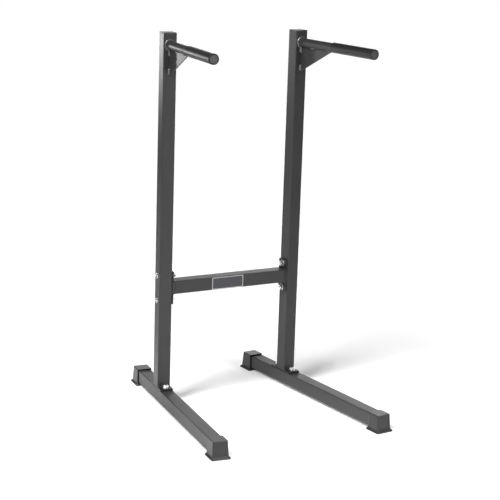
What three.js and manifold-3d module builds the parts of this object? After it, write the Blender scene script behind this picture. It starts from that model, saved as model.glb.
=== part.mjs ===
// A free-standing dip station: two square-tube side frames, turned out a little
// towards the front, joined by a bolted crossbar and carrying round handles.
// Millimetres, +Z up, handles and long legs towards -Y, origin on the floor
// under the middle of the stand. Left is -X, seen from the front.

import * as THREE from 'three';
import { mergeVertices } from 'three/addons/utils/BufferGeometryUtils.js';
import Module from 'manifold-3d';

// Square steel tube of the uprights, base legs and crossbar
const TUBE_SIDE = 50;
const TUBE_WALL = 2.5;
const TUBE_CORNER = 3.2;

// Stance of the whole stand
const UPRIGHT_SPACING = 536;
const TOE_OUT_DEGREES = 5.9;
const TUBE_LIFT = 11.5;
const UPRIGHT_TOP = 1387;
const LEG_FRONT = 615.5;
const LEG_REAR = 252;
const CROSSBAR_HEIGHT = 448.5;

// Gaps between pieces that touch or pass through each other
const SEAT_GAP = 0.3;
const BOLT_HOLE_CLEARANCE = 0.5;

// Welded plates
const FOOT_PLATE_LENGTH = 124;
const FOOT_PLATE_THICKNESS = 6;
const FOOT_BOLT_OFFSET = 46;
const END_PLATE_HEIGHT = 125;
const END_PLATE_THICKNESS = 6;
const END_BOLT_OFFSET = 47.5;
const PLATE_CORNER = 3;

// Handles
const HANDLE_BELOW_TOP = 40;
const HANDLE_DIAMETER = 32;
const HANDLE_WALL = 2.5;
const HANDLE_LENGTH = 434;
const HANDLE_WELD_LEG = 4;
const GRIP_DIAMETER = 38;
const GRIP_LENGTH = 236;
const GRIP_ROUNDING = 1.2;
const PLUG_FLANGE = 2.5;
const PLUG_STUB = 14;
const PLUG_STUB_WALL = 2;
const PLUG_RECESS = 0.8;

// Gusset under each handle, and the weld round its toe
const GUSSET_THICKNESS = 5;
const GUSSET_REACH = 186;
const GUSSET_DROP = 107.5;
const GUSSET_TOE = 3;
const GUSSET_TIP = 1.2;
const GUSSET_WELD_LEG = 3.5;
const GUSSET_WELD_LENGTH = 24;

// Top caps
const CAP_FLANGE = 4;
const CAP_BEVEL = 1;
const CAP_STUB = 16;
const CAP_STUB_WALL = 2;

// Rubber boots on the ends of the base tubes
const BOOT_WALL = 3.2;
const BOOT_LENGTH = 55.5;
const BOOT_CORNER = 4;
const BOOT_TOP_ROUNDING = 2.6;
const BOOT_FLARE_SIDE = 8;
const BOOT_FLARE_END = 12.5;
const BOOT_FLARE_MOUTH = 4.5;
const BOOT_LIP_CORNER = 8;

// M12 fasteners
const BOLT_DIAMETER = 12;
const BOLT_POINT = 1;
const BOLT_END = 2;
const HEX_ACROSS_FLATS = 19;
const HEX_CHAMFER = 0.5;
const HEAD_HEIGHT = 7.5;
const NUT_HEIGHT = 10;
const WASHER_DIAMETER = 24;
const WASHER_THICKNESS = 2.5;

// Plain nameplate on the front of the crossbar, a little left of the middle
const NAMEPLATE_WIDTH = 131;
const NAMEPLATE_HEIGHT = 46;
const NAMEPLATE_THICKNESS = 0.8;
const NAMEPLATE_CORNER = 2;
const NAMEPLATE_OFFSET = 12;

// How far a cutter reaches past what it cuts, and how near two points are one
const OVERRUN = 5;
const MERGE_DISTANCE = 0.0001;

// Facet counts
const CORNER_STEPS = 2;
const HANDLE_SIDES = 28;
const FASTENER_SIDES = 16;

// A weld's hollow face as shares of its leg: rise off the plate, width there
const WELD_OUTLINE_SHARES = [
  [0, 1],
  [0.4, 0.4],
  [1, 0.08],
];

// A boot from the floor up: share of its height, share of the side and
// closed-end flares there, share of the mouth flare
const BOOT_OUTLINE_SHARES = [
  [0, 0.86, 0.75],
  [0.022, 1, 1],
  [0.08, 1, 1],
  [0.135, 0.4, 0.3],
  [0.2, 0.34, 0],
  [0.6, 0.15, 0],
];

const PAINT = { color: 0x3d3c3d, roughness: 0.5, metalness: 0.25 };
const RUBBER = { color: 0x333335, roughness: 0.75, metalness: 0 };
const GRIP_RUBBER = { color: 0x2c2b2c, roughness: 0.6, metalness: 0 };
const PLASTIC = { color: 0x39393b, roughness: 0.55, metalness: 0 };
const ZINC = { color: 0xc9ccd0, roughness: 0.3, metalness: 0.9 };
const LABEL = { color: 0x45454a, roughness: 0.4, metalness: 0.3 };

const manifoldModule = await Module();
manifoldModule.setup();

const halfTube = TUBE_SIDE / 2;
const bore = TUBE_SIDE - 2 * TUBE_WALL;
const boreCorner = Math.max(TUBE_CORNER - TUBE_WALL, TUBE_CORNER / 4);
const baseTop = TUBE_LIFT + TUBE_SIDE;
const footPlateBase = baseTop + SEAT_GAP;
const uprightFoot = footPlateBase + FOOT_PLATE_THICKNESS + SEAT_GAP;
const toeOut = THREE.MathUtils.degToRad(TOE_OUT_DEGREES);
const boltHole = BOLT_DIAMETER + 2 * BOLT_HOLE_CLEARANCE;
const handleHeight = UPRIGHT_TOP - HANDLE_BELOW_TOP;
const handleRadius = HANDLE_DIAMETER / 2;

// Turns a closed geometry into a solid that can be joined and cut
function toSolid(geometry) {
  const bare = geometry.clone();
  bare.deleteAttribute('normal');
  bare.deleteAttribute('uv');
  const merged = mergeVertices(bare, MERGE_DISTANCE);
  return new manifoldModule.Manifold(new manifoldModule.Mesh({
    numProp: 3,
    vertProperties: new Float32Array(merged.attributes.position.array),
    triVerts: new Uint32Array(merged.index.array),
  }));
}

function toGeometry(solid) {
  const mesh = solid.getMesh();
  const geometry = new THREE.BufferGeometry();
  geometry.setAttribute('position', new THREE.BufferAttribute(mesh.vertProperties, mesh.numProp));
  geometry.setIndex(new THREE.BufferAttribute(mesh.triVerts, 1));
  geometry.computeVertexNormals();
  return geometry;
}

function cut(geometry, cutters) {
  return toGeometry(cutters.reduce((rest, cutter) => rest.subtract(toSolid(cutter)), toSolid(geometry)));
}

function join(geometries) {
  const [first, ...others] = geometries.map(toSolid);
  return toGeometry(others.reduce((whole, next) => whole.add(next), first));
}

function keepInside(geometry, envelope) {
  return toGeometry(toSolid(geometry).intersect(toSolid(envelope)));
}

function addNode(parent, name, geometry, look) {
  const mesh = new THREE.Mesh(geometry, new THREE.MeshStandardMaterial(look));
  mesh.name = name;
  parent.add(mesh);
  return mesh;
}

// Rounded rectangle round a centre, as a Shape or as a hole's Path
function roundedRectangle(width, height, radius, outline = new THREE.Shape()) {
  const x = width / 2 - radius;
  const y = height / 2 - radius;
  outline.absarc(x, y, radius, 0, Math.PI / 2);
  outline.absarc(-x, y, radius, Math.PI / 2, Math.PI);
  outline.absarc(-x, -y, radius, Math.PI, 1.5 * Math.PI);
  outline.absarc(x, -y, radius, 1.5 * Math.PI, 2 * Math.PI);
  return outline;
}

function extruded(outline, length) {
  return new THREE.ExtrudeGeometry(outline, { depth: length, bevelEnabled: false, curveSegments: CORNER_STEPS });
}

// A rounded rectangle in XY, raised from z = 0
function slab(width, depth, thickness, corner) {
  return extruded(roundedRectangle(width, depth, corner), thickness);
}

// Open square tube along Z, from z = 0 up
function squareTube(length) {
  const outline = roundedRectangle(TUBE_SIDE, TUBE_SIDE, TUBE_CORNER);
  outline.holes.push(roundedRectangle(bore, bore, boreCorner, new THREE.Path()));
  return extruded(outline, length);
}

// A solid turned round Z; the profile is a list of [radius, z], anticlockwise, that
// either starts and ends on the axis or closes on itself
function turned(profile, sides) {
  const points = profile.map(([radius, z]) => new THREE.Vector2(radius, z));
  const closed = points[0].x === 0 ? points : [...points, points[0]];
  return new THREE.LatheGeometry(closed, sides).rotateX(Math.PI / 2);
}

function ring(inner, outer, from, to, sides) {
  return turned([[inner, from], [outer, from], [outer, to], [inner, to]], sides);
}

function rod(diameter, from, to, sides = FASTENER_SIDES) {
  const geometry = new THREE.CylinderGeometry(diameter / 2, diameter / 2, to - from, sides);
  return geometry.rotateX(Math.PI / 2).translate(0, 0, (from + to) / 2);
}

// One level of a stack: a rounded rectangle's points at a height
function level(z, width, depth, corner, middle = 0) {
  const points = roundedRectangle(width, depth, corner).getPoints(CORNER_STEPS);
  return points.map((point) => [point.x, point.y + middle, z]);
}

// A solid through levels of equally many points, flat at both ends
function stacked(levels) {
  const count = levels[0].length;
  const top = (levels.length - 1) * count;
  const index = [];
  for (let start = 0; start < top; start += count) {
    for (let i = 0; i < count; i += 1) {
      const next = (i + 1) % count;
      index.push(start + i, start + next, start + next + count);
      index.push(start + i, start + next + count, start + i + count);
    }
  }
  for (let i = 1; i + 1 < count; i += 1) {
    index.push(0, i + 1, i);
    index.push(top, top + i, top + i + 1);
  }
  const geometry = new THREE.BufferGeometry();
  geometry.setAttribute('position', new THREE.Float32BufferAttribute(levels.flat(2), 3));
  geometry.setIndex(index);
  return geometry;
}

// Bolt holes along Z, at equal offsets either side of the middle
function boltHoles(offset, from, to) {
  return [-1, 1].map((way) => rod(boltHole, from - OVERRUN, to + OVERRUN).translate(0, way * offset, 0));
}

// Hexagonal blank from z = 0 up, its corners chamfered by a turned envelope
function hexBlank(height, chamferBothFaces) {
  const across = HEX_ACROSS_FLATS / Math.cos(Math.PI / 6);
  const rim = HEX_ACROSS_FLATS / 2 - HEX_CHAMFER;
  const wide = across / 2 + HEX_CHAMFER;
  const rise = (wide - rim) * Math.tan(Math.PI / 6);
  const lower = chamferBothFaces ? [[rim, 0], [wide, rise]] : [[wide, 0]];
  const envelope = turned([[0, 0], ...lower, [wide, height - rise], [rim, height], [0, height]], FASTENER_SIDES);
  return keepInside(rod(across, 0, height, 6), envelope);
}

// Bolt along Z: the underside of its head at z = 0, the head above
function hexBolt(length) {
  const radius = BOLT_DIAMETER / 2;
  const shank = turned([[0, -length], [radius - BOLT_POINT, -length], [radius, BOLT_POINT - length],
    [radius, HEAD_HEIGHT / 2], [0, HEAD_HEIGHT / 2]], FASTENER_SIDES);
  return join([hexBlank(HEAD_HEIGHT, false), shank]);
}

function hexNut() {
  return cut(hexBlank(NUT_HEIGHT, true), [rod(BOLT_DIAMETER + 2 * SEAT_GAP, -OVERRUN, NUT_HEIGHT + OVERRUN)]);
}

function washer() {
  return ring(boltHole / 2, WASHER_DIAMETER / 2, 0, WASHER_THICKNESS, FASTENER_SIDES);
}

// One bolt with its washers and nut, through parts that lie between z = -grip and
// z = 0; the head is on the +Z side
function addFastener(parent, kind, place, grip) {
  const washerStack = WASHER_THICKNESS + 2 * SEAT_GAP;
  const length = grip + 2 * washerStack + NUT_HEIGHT + BOLT_END;
  addNode(parent, `${kind}_bolt_${place}`, hexBolt(length), ZINC).position.z = washerStack;
  addNode(parent, `${kind}_head_washer_${place}`, washer(), ZINC).position.z = SEAT_GAP;
  addNode(parent, `${kind}_nut_washer_${place}`, washer(), ZINC).position.z = SEAT_GAP - grip - washerStack;
  addNode(parent, `${kind}_nut_${place}`, hexNut(), ZINC).position.z = -grip - washerStack - NUT_HEIGHT;
}

// Base tube along Y, drilled for the two foot bolts
function addBaseTube(frame, side) {
  const tube = squareTube(LEG_FRONT + LEG_REAR)
    .rotateX(Math.PI / 2)
    .translate(0, LEG_REAR, TUBE_LIFT + halfTube);
  addNode(frame, `base_tube_${side}`, cut(tube, boltHoles(FOOT_BOLT_OFFSET, TUBE_LIFT, baseTop)), PAINT);
}

function addFootPlate(frame, side) {
  const plate = slab(TUBE_SIDE, FOOT_PLATE_LENGTH, FOOT_PLATE_THICKNESS, PLATE_CORNER);
  const drilled = cut(plate, boltHoles(FOOT_BOLT_OFFSET, 0, FOOT_PLATE_THICKNESS));
  addNode(frame, `foot_plate_${side}`, drilled, PAINT).position.z = footPlateBase;
}

// Upright on its foot plate, cross-drilled for the end plate's bolts
function addUpright(frame, side) {
  const holes = [-1, 1].map((way) => rod(boltHole, -halfTube - OVERRUN, halfTube + OVERRUN)
    .rotateY(Math.PI / 2)
    .translate(0, 0, CROSSBAR_HEIGHT + way * END_BOLT_OFFSET - uprightFoot));
  const tube = cut(squareTube(UPRIGHT_TOP - uprightFoot), holes);
  addNode(frame, `upright_${side}`, tube, PAINT).position.z = uprightFoot;
}

// Square cap: a bevelled flange on the end of the upright and a hollow stub in it
function addTopCap(frame, side) {
  const topSide = TUBE_SIDE - 2 * CAP_BEVEL;
  const flange = stacked([
    level(0, TUBE_SIDE, TUBE_SIDE, TUBE_CORNER),
    level(CAP_FLANGE - CAP_BEVEL, TUBE_SIDE, TUBE_SIDE, TUBE_CORNER),
    level(CAP_FLANGE, topSide, topSide, TUBE_CORNER - CAP_BEVEL),
  ]);
  const stubSide = bore - 2 * SEAT_GAP;
  const hollowSide = stubSide - 2 * CAP_STUB_WALL;
  const stub = slab(stubSide, stubSide, CAP_STUB + CAP_BEVEL, boreCorner).translate(0, 0, -CAP_STUB);
  const hollow = slab(hollowSide, hollowSide, CAP_STUB + OVERRUN, boreCorner).translate(0, 0, -CAP_STUB - OVERRUN);
  const cap = cut(join([flange, stub]), [hollow]);
  addNode(frame, `top_cap_${side}`, cap, PLASTIC).position.z = UPRIGHT_TOP + SEAT_GAP;
}

// What lies along the handle is made up +Z, then laid forwards from the upright's face
function layForwards(geometry) {
  return geometry.rotateX(Math.PI / 2).translate(0, -halfTube, handleHeight);
}

// Upright triangular plate: its outline is reach by drop, stood up facing forwards.
// A margin grows it, for the welds that it cuts.
function gussetPlate(margin = 0) {
  const top = -handleRadius - SEAT_GAP + margin;
  const back = SEAT_GAP - margin;
  const foot = -GUSSET_DROP - margin;
  const tip = GUSSET_REACH + margin;
  const outline = new THREE.Shape();
  outline.moveTo(back, top);
  outline.lineTo(back, foot);
  outline.lineTo(SEAT_GAP + GUSSET_TOE + margin, foot);
  outline.lineTo(tip, top - GUSSET_TIP - 2 * margin);
  outline.lineTo(tip, top);
  const thickness = GUSSET_THICKNESS + 2 * margin;
  return extruded(outline, thickness)
    .translate(0, 0, -thickness / 2)
    .rotateX(Math.PI / 2)
    .rotateZ(-Math.PI / 2)
    .translate(0, -halfTube, handleHeight);
}

function addHandleTube(frame, side) {
  const tubeEnd = HANDLE_LENGTH - PLUG_RECESS - PLUG_FLANGE - SEAT_GAP;
  const tube = ring(handleRadius - HANDLE_WALL, handleRadius, SEAT_GAP, tubeEnd, HANDLE_SIDES);
  addNode(frame, `handle_tube_${side}`, layForwards(tube), PAINT);

  const bead = WELD_OUTLINE_SHARES.map(([rise, width]) => [
    handleRadius + SEAT_GAP + width * HANDLE_WELD_LEG,
    SEAT_GAP + rise * HANDLE_WELD_LEG,
  ]);
  const inner = handleRadius + SEAT_GAP;
  const collar = turned([[inner, SEAT_GAP], ...bead, [inner, SEAT_GAP + HANDLE_WELD_LEG]], HANDLE_SIDES);
  addNode(frame, `handle_weld_${side}`, cut(layForwards(collar), [gussetPlate(SEAT_GAP)]), PAINT);
}

// Rubber sleeve on the outer part of the handle, and the plug that closes the tube
function addGrip(frame, side) {
  const start = HANDLE_LENGTH - GRIP_LENGTH;
  const inner = handleRadius + SEAT_GAP;
  const outer = GRIP_DIAMETER / 2;
  const rim = outer - GRIP_ROUNDING;
  const sleeve = turned([[inner, start], [rim, start], [outer, start + GRIP_ROUNDING],
    [outer, HANDLE_LENGTH - GRIP_ROUNDING], [rim, HANDLE_LENGTH], [inner, HANDLE_LENGTH]], HANDLE_SIDES);
  addNode(frame, `grip_${side}`, layForwards(sleeve), GRIP_RUBBER);

  const face = HANDLE_LENGTH - PLUG_RECESS;
  const shoulder = face - PLUG_FLANGE;
  const stub = handleRadius - HANDLE_WALL - SEAT_GAP;
  const hollow = stub - PLUG_STUB_WALL;
  const plug = turned([[0, shoulder], [hollow, shoulder], [hollow, shoulder - PLUG_STUB],
    [stub, shoulder - PLUG_STUB], [stub, shoulder], [handleRadius, shoulder], [handleRadius, face],
    [0, face]], HANDLE_SIDES);
  addNode(frame, `grip_plug_${side}`, layForwards(plug), PLASTIC);
}

// Gusset, and the weld on the upright's face that wraps the gusset's toe
function addGusset(frame, side) {
  addNode(frame, `gusset_${side}`, gussetPlate(), PAINT);
  const bar = stacked(WELD_OUTLINE_SHARES.map(([rise, width]) => {
    const around = 2 * SEAT_GAP + 2 * width * GUSSET_WELD_LEG;
    const across = GUSSET_THICKNESS + around;
    return level(rise * GUSSET_WELD_LEG, across, GUSSET_WELD_LENGTH + around, across / 3);
  }));
  const middle = handleHeight - GUSSET_DROP + GUSSET_WELD_LENGTH / 2;
  bar.rotateX(Math.PI / 2).translate(0, -halfTube - SEAT_GAP, middle);
  addNode(frame, `gusset_weld_${side}`, cut(bar, [gussetPlate(SEAT_GAP)]), PAINT);
}

// One level of a boot, grown by its own flare on the sides (X), on the closed end
// (-Y) and at the mouth (+Y); the tube ends at y = 0
function bootLevel(z, sideFlare, endFlare, mouthFlare, corner) {
  const halfWidth = halfTube + SEAT_GAP + BOOT_WALL + sideFlare;
  const closedEnd = SEAT_GAP + BOOT_WALL + endFlare;
  const mouth = BOOT_LENGTH - SEAT_GAP - BOOT_WALL + mouthFlare;
  return level(z, 2 * halfWidth, closedEnd + mouth, corner, (mouth - closedEnd) / 2);
}

function boot() {
  const height = baseTop + SEAT_GAP + BOOT_WALL;
  const skirt = BOOT_OUTLINE_SHARES.map(([up, flare, mouth]) => bootLevel(
    up * height, flare * BOOT_FLARE_SIDE, flare * BOOT_FLARE_END, mouth * BOOT_FLARE_MOUTH,
    BOOT_CORNER + flare * (BOOT_LIP_CORNER - BOOT_CORNER)));
  const shoulder = [0, 0.5, 1].map((turn) => {
    const angle = turn * Math.PI / 2;
    const inset = BOOT_TOP_ROUNDING * (Math.cos(angle) - 1);
    const z = height + BOOT_TOP_ROUNDING * (Math.sin(angle) - 1);
    return bootLevel(z, inset, inset, 0, BOOT_CORNER + inset);
  });
  const socketSide = TUBE_SIDE + 2 * SEAT_GAP;
  const socket = slab(socketSide, socketSide, BOOT_LENGTH + BOOT_FLARE_MOUTH + OVERRUN, TUBE_CORNER + SEAT_GAP)
    .rotateX(-Math.PI / 2)
    .translate(0, -SEAT_GAP, TUBE_LIFT + halfTube);
  return cut(stacked([...skirt, ...shoulder]), [socket]);
}

function addBoots(frame, side) {
  addNode(frame, `boot_front_${side}`, boot(), RUBBER).position.y = -LEG_FRONT;
  const rear = addNode(frame, `boot_rear_${side}`, boot(), RUBBER);
  rear.rotation.z = Math.PI;
  rear.position.y = LEG_REAR;
}

// Heads under the base tube, nuts on the foot plate
function addFootBolts(frame, side) {
  [['front', -1], ['rear', 1]].forEach(([end, way]) => {
    const stack = new THREE.Group();
    stack.position.set(0, way * FOOT_BOLT_OFFSET, TUBE_LIFT);
    stack.rotation.x = Math.PI;
    addFastener(stack, 'foot', `${side}_${end}`, TUBE_SIDE + SEAT_GAP + FOOT_PLATE_THICKNESS);
    frame.add(stack);
  });
}

// The crossbar's end plate lies on the upright's inner face (inward is +X or -X);
// its bolts have their heads on the outer face
function addEndPlate(frame, side, inward) {
  const plate = slab(TUBE_SIDE, END_PLATE_HEIGHT, END_PLATE_THICKNESS, PLATE_CORNER);
  const standing = cut(plate, boltHoles(END_BOLT_OFFSET, 0, END_PLATE_THICKNESS))
    .rotateX(Math.PI / 2)
    .rotateZ(inward * Math.PI / 2);
  addNode(frame, `end_plate_${side}`, standing, PAINT)
    .position.set(inward * (halfTube + SEAT_GAP), 0, CROSSBAR_HEIGHT);

  [['lower', -1], ['upper', 1]].forEach(([place, way]) => {
    const stack = new THREE.Group();
    stack.position.set(-inward * halfTube, 0, CROSSBAR_HEIGHT + way * END_BOLT_OFFSET);
    stack.rotation.y = -inward * Math.PI / 2;
    addFastener(stack, 'crossbar', `${side}_${place}`, TUBE_SIDE + SEAT_GAP + END_PLATE_THICKNESS);
    frame.add(stack);
  });
}

// Crossbar along X, its ends mitred to lie against the turned end plates
function addCrossbar(group) {
  const reach = UPRIGHT_SPACING / 2;
  const bar = squareTube(UPRIGHT_SPACING).rotateY(Math.PI / 2).translate(-reach, 0, CROSSBAR_HEIGHT);
  const plateFace = halfTube + END_PLATE_THICKNESS + 2 * SEAT_GAP;
  const cutters = [-1, 1].map((way) => new THREE.BoxGeometry(2 * plateFace, 2 * TUBE_SIDE, TUBE_SIDE + OVERRUN)
    .rotateZ(way * toeOut)
    .translate(way * reach, 0, CROSSBAR_HEIGHT));
  addNode(group, 'crossbar', cut(bar, cutters), PAINT);

  const plate = slab(NAMEPLATE_WIDTH, NAMEPLATE_HEIGHT, NAMEPLATE_THICKNESS, NAMEPLATE_CORNER);
  addNode(group, 'nameplate', plate.rotateX(Math.PI / 2), LABEL)
    .position.set(-NAMEPLATE_OFFSET, -halfTube, CROSSBAR_HEIGHT);
}

function addSideFrame(group, side, way) {
  const frame = new THREE.Group();
  frame.position.x = way * UPRIGHT_SPACING / 2;
  frame.rotation.z = way * toeOut;
  addBaseTube(frame, side);
  addFootPlate(frame, side);
  addUpright(frame, side);
  addTopCap(frame, side);
  addHandleTube(frame, side);
  addGrip(frame, side);
  addGusset(frame, side);
  addBoots(frame, side);
  addFootBolts(frame, side);
  addEndPlate(frame, side, -way);
  group.add(frame);
}

// The uprights stand behind the middle, because the front legs are longer
const stand = new THREE.Group();
addSideFrame(stand, 'left', -1);
addSideFrame(stand, 'right', 1);
addCrossbar(stand);
stand.position.y = (LEG_FRONT - LEG_REAR) / 2 * Math.cos(toeOut);

export default stand;
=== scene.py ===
"""Models and finishes a free-standing dip station, and sets it in a pale studio.

Left and right are the stand's own, seen from its front: left is -X. Each side frame is
modelled about the axis of its upright, with the handle towards -Y, and is then turned out
and moved to its place. Lengths are in metres.
"""

from __future__ import annotations

import logging
import math
from contextlib import contextmanager
from dataclasses import dataclass
from enum import Enum
from functools import cache
from typing import Any, Callable, Iterator, Sequence

import bmesh
import bpy
from mathutils import Matrix, Vector


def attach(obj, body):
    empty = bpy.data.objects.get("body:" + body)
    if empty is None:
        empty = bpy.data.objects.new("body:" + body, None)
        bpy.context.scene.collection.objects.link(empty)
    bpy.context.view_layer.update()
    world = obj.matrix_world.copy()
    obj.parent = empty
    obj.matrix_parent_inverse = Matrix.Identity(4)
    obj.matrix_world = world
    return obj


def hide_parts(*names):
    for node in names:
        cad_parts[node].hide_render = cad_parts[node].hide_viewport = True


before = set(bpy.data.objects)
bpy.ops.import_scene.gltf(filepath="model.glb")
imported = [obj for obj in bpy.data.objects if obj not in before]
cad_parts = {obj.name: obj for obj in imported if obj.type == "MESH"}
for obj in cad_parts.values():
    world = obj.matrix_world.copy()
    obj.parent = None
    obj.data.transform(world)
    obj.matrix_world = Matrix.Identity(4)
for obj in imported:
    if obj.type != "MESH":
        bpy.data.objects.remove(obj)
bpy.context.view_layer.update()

log = logging.getLogger("dip_station")

Triple = tuple[float, float, float]
Test = Callable[[Vector, Vector], bool]


def mm(value: float) -> float:
    """Millimetres in metres."""
    return value / 1000


X_AXIS, Y_AXIS, Z_AXIS = Vector((1, 0, 0)), Vector((0, 1, 0)), Vector((0, 0, 1))
NEAR = 1e-5
MERGE = 2e-6
SMOOTH_ANGLE = math.radians(40)
SHARP_ANGLE = math.radians(50)
ALMOST = 0.99
ROUND_SIDES = 64
FULL_TURN = 2 * math.pi
OVERRUN = mm(8)
BOLT_HOLE = mm(6.5)


class Side(Enum):
    """The two side frames. The value is the way from the middle to that frame along X."""

    LEFT = -1
    RIGHT = 1

    @property
    def label(self) -> str:
        """The side's word in the names of pieces."""
        return self.name.lower()


class Pick(Enum):
    """What a selection takes."""

    CORNER = "VERT"
    EDGE = "EDGE"
    FACE = "FACE"


class Slot(Enum):
    """The record's material slots."""

    PAINT = "frame_paint"
    BOOT = "boot_rubber"
    GRIP = "grip_rubber"
    PLUG = "plug_plastic"
    CAP = "cap_plastic"
    ZINC = "zinc"
    NAMEPLATE = "nameplate"


def facing(way: Vector) -> Test:
    """Passes faces whose normal points a given way."""
    return lambda _, normal: normal.dot(way) > 1 - NEAR


def along(axis: Vector) -> Test:
    """Passes edges parallel to an axis."""
    return lambda _, direction: abs(direction.dot(axis)) > 1 - NEAR


def across(axis: Vector) -> Test:
    """Passes edges square to an axis."""
    return lambda _, direction: abs(direction.dot(axis)) < NEAR


def heading(azimuth: float, elevation: float = 0.0) -> Vector:
    """A unit vector, by its azimuth from +Y towards +X and its elevation, both in degrees."""
    turn, rise = math.radians(azimuth), math.radians(elevation)
    return Vector((math.sin(turn) * math.cos(rise), math.cos(turn) * math.cos(rise), math.sin(rise)))


def at_level(axis: Vector, level: float, then: Test | None = None) -> Test:
    """Passes what has its middle at a level along an axis, and passes a second test if given."""
    return lambda middle, way: abs(middle.dot(axis) - level) < NEAR and (then is None or then(middle, way))


class Bench:
    """One mesh being made: a primitive that Blender's own mesh tools shape."""

    def __init__(self, name: str) -> None:
        """Takes the primitive that was just added.

        Args:
            name: The piece's name.
        """
        self.object: bpy.types.Object = bpy.context.object
        self.object.name = self.object.data.name = name
        self.settle()

    def alone(self) -> None:
        """Selects this object and no other, and makes it the active one."""
        bpy.ops.object.select_all(action="DESELECT")
        self.object.select_set(True)
        bpy.context.view_layer.objects.active = self.object

    @classmethod
    def block(cls, name: str, low: Sequence[float], high: Sequence[float]) -> Bench:
        """Adds a box.

        Args:
            name: The piece's name.
            low: Its lowest corner.
            high: Its highest corner.

        Returns:
            The bench that holds it.
        """
        bpy.ops.object.select_all(action="DESELECT")
        size = Vector(high) - Vector(low)
        bpy.ops.mesh.primitive_cube_add(size=1, location=(Vector(low) + Vector(high)) / 2, scale=size)
        return cls(name)

    @classmethod
    def bar(cls, name: str, radius: float, start: Sequence[float], end: Sequence[float], sides: int) -> Bench:
        """Adds a round or many-sided bar.

        Args:
            name: The piece's name.
            radius: The bar's radius, to its corners.
            start: The middle of its first end.
            end: The middle of its other end.
            sides: How many sides it has.

        Returns:
            The bench that holds it.
        """
        bpy.ops.object.select_all(action="DESELECT")
        line = Vector(end) - Vector(start)
        bpy.ops.mesh.primitive_cylinder_add(
            vertices=sides, radius=radius, depth=line.length, location=(Vector(start) + Vector(end)) / 2,
            rotation=line.to_track_quat("Z", "Y").to_euler())
        return cls(name)

    @classmethod
    def ball(cls, name: str, radii: Sequence[float], fineness: int) -> Bench:
        """Adds an ellipsoid round the origin.

        Args:
            name: The piece's name.
            radii: Its three half axes.
            fineness: Subdivisions of the ico sphere that it starts from.

        Returns:
            The bench that holds it.
        """
        bpy.ops.object.select_all(action="DESELECT")
        bpy.ops.mesh.primitive_ico_sphere_add(subdivisions=fineness, radius=1, scale=radii)
        return cls(name)

    @classmethod
    def outline(cls, name: str, points: Sequence[tuple[float, float]]) -> Bench:
        """Draws a chain of edges in the XZ plane, corner by corner.

        Args:
            name: The piece's name.
            points: Each corner's distance from the Z axis and its height.

        Returns:
            The bench that holds it.
        """
        bpy.ops.object.select_all(action="DESELECT")
        bpy.ops.mesh.primitive_plane_add(size=mm(1), location=(points[0][0], 0, points[0][1]))
        bench = cls(name)
        with bench.editing(Pick.CORNER):
            bpy.ops.mesh.merge(type="CENTER")
            for (from_x, from_z), (to_x, to_z) in zip(points, points[1:]):
                step = (to_x - from_x, 0, to_z - from_z)
                bpy.ops.mesh.extrude_region_move(TRANSFORM_OT_translate={"value": step})
        return bench

    @contextmanager
    def editing(self, pick: Pick, test: Test | None = None) -> Iterator[None]:
        """Opens the mesh in edit mode with a selection.

        Args:
            pick: Whether corners, edges or faces are selected.
            test: What to select, by its middle and its normal or direction; all if None.

        Yields:
            Nothing; the caller's operators act on the selection.
        """
        self.alone()
        bpy.ops.object.mode_set(mode="EDIT")
        bpy.ops.mesh.select_mode(type=pick.value)
        bpy.ops.mesh.select_all(action="SELECT" if test is None else "DESELECT")
        if test is not None:
            self.choose(pick, test)
        yield
        bpy.ops.object.mode_set(mode="OBJECT")

    def choose(self, pick: Pick, test: Test) -> None:
        """Selects what passes a test, in edit mode.

        Args:
            pick: Whether corners, edges or faces are selected.
            test: Takes the middle, and the normal or an edge's direction.
        """
        mesh = bmesh.from_edit_mesh(self.object.data)
        if pick is Pick.FACE:
            mesh.normal_update()
            found = [f for f in mesh.faces if test(f.calc_center_median(), f.normal)]
        elif pick is Pick.EDGE:
            found = [e for e in mesh.edges if test(
                (e.verts[0].co + e.verts[1].co) / 2, (e.verts[1].co - e.verts[0].co).normalized())]
        else:
            found = [v for v in mesh.verts if test(v.co, v.normal)]
        for item in found:
            item.select_set(True)
        bmesh.update_edit_mesh(self.object.data)

    def settle(self) -> None:
        """Puts the object's place, turn and scale into its mesh."""
        self.alone()
        bpy.ops.object.transform_apply(location=True, rotation=True, scale=True)

    def bevel(self, test: Test, width: float, segments: int) -> Bench:
        """Rounds edges.

        Args:
            test: Picks the edges.
            width: The rounding's width.
            segments: How many strips it has.

        Returns:
            The bench.
        """
        with self.editing(Pick.EDGE, test):
            bpy.ops.mesh.bevel(offset=width, offset_type="OFFSET", segments=segments, affect="EDGES")
        return self

    def inset(self, test: Test, thickness: float, push: Vector | None = None) -> Bench:
        """Insets the faces that pass a test.

        Args:
            test: Picks the faces.
            thickness: How far their borders move in.
            push: How far the inner faces are then extruded, or None.

        Returns:
            The bench.
        """
        with self.editing(Pick.FACE, test):
            bpy.ops.mesh.inset(thickness=thickness, use_even_offset=True)
            if push is not None:
                bpy.ops.mesh.extrude_region_move(TRANSFORM_OT_translate={"value": push})
        return self

    def grown(self, test: Test, push: Vector, scale: Sequence[float], centre: Vector) -> Bench:
        """Extrudes faces and scales them.

        Args:
            test: Picks the faces.
            push: How far they are extruded.
            scale: Their scale along each axis.
            centre: The point that they are scaled about.

        Returns:
            The bench.
        """
        with self.editing(Pick.FACE, test):
            bpy.ops.mesh.extrude_region_move(TRANSFORM_OT_translate={"value": push})
            bpy.ops.transform.resize(value=scale, center_override=centre)
        return self

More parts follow.
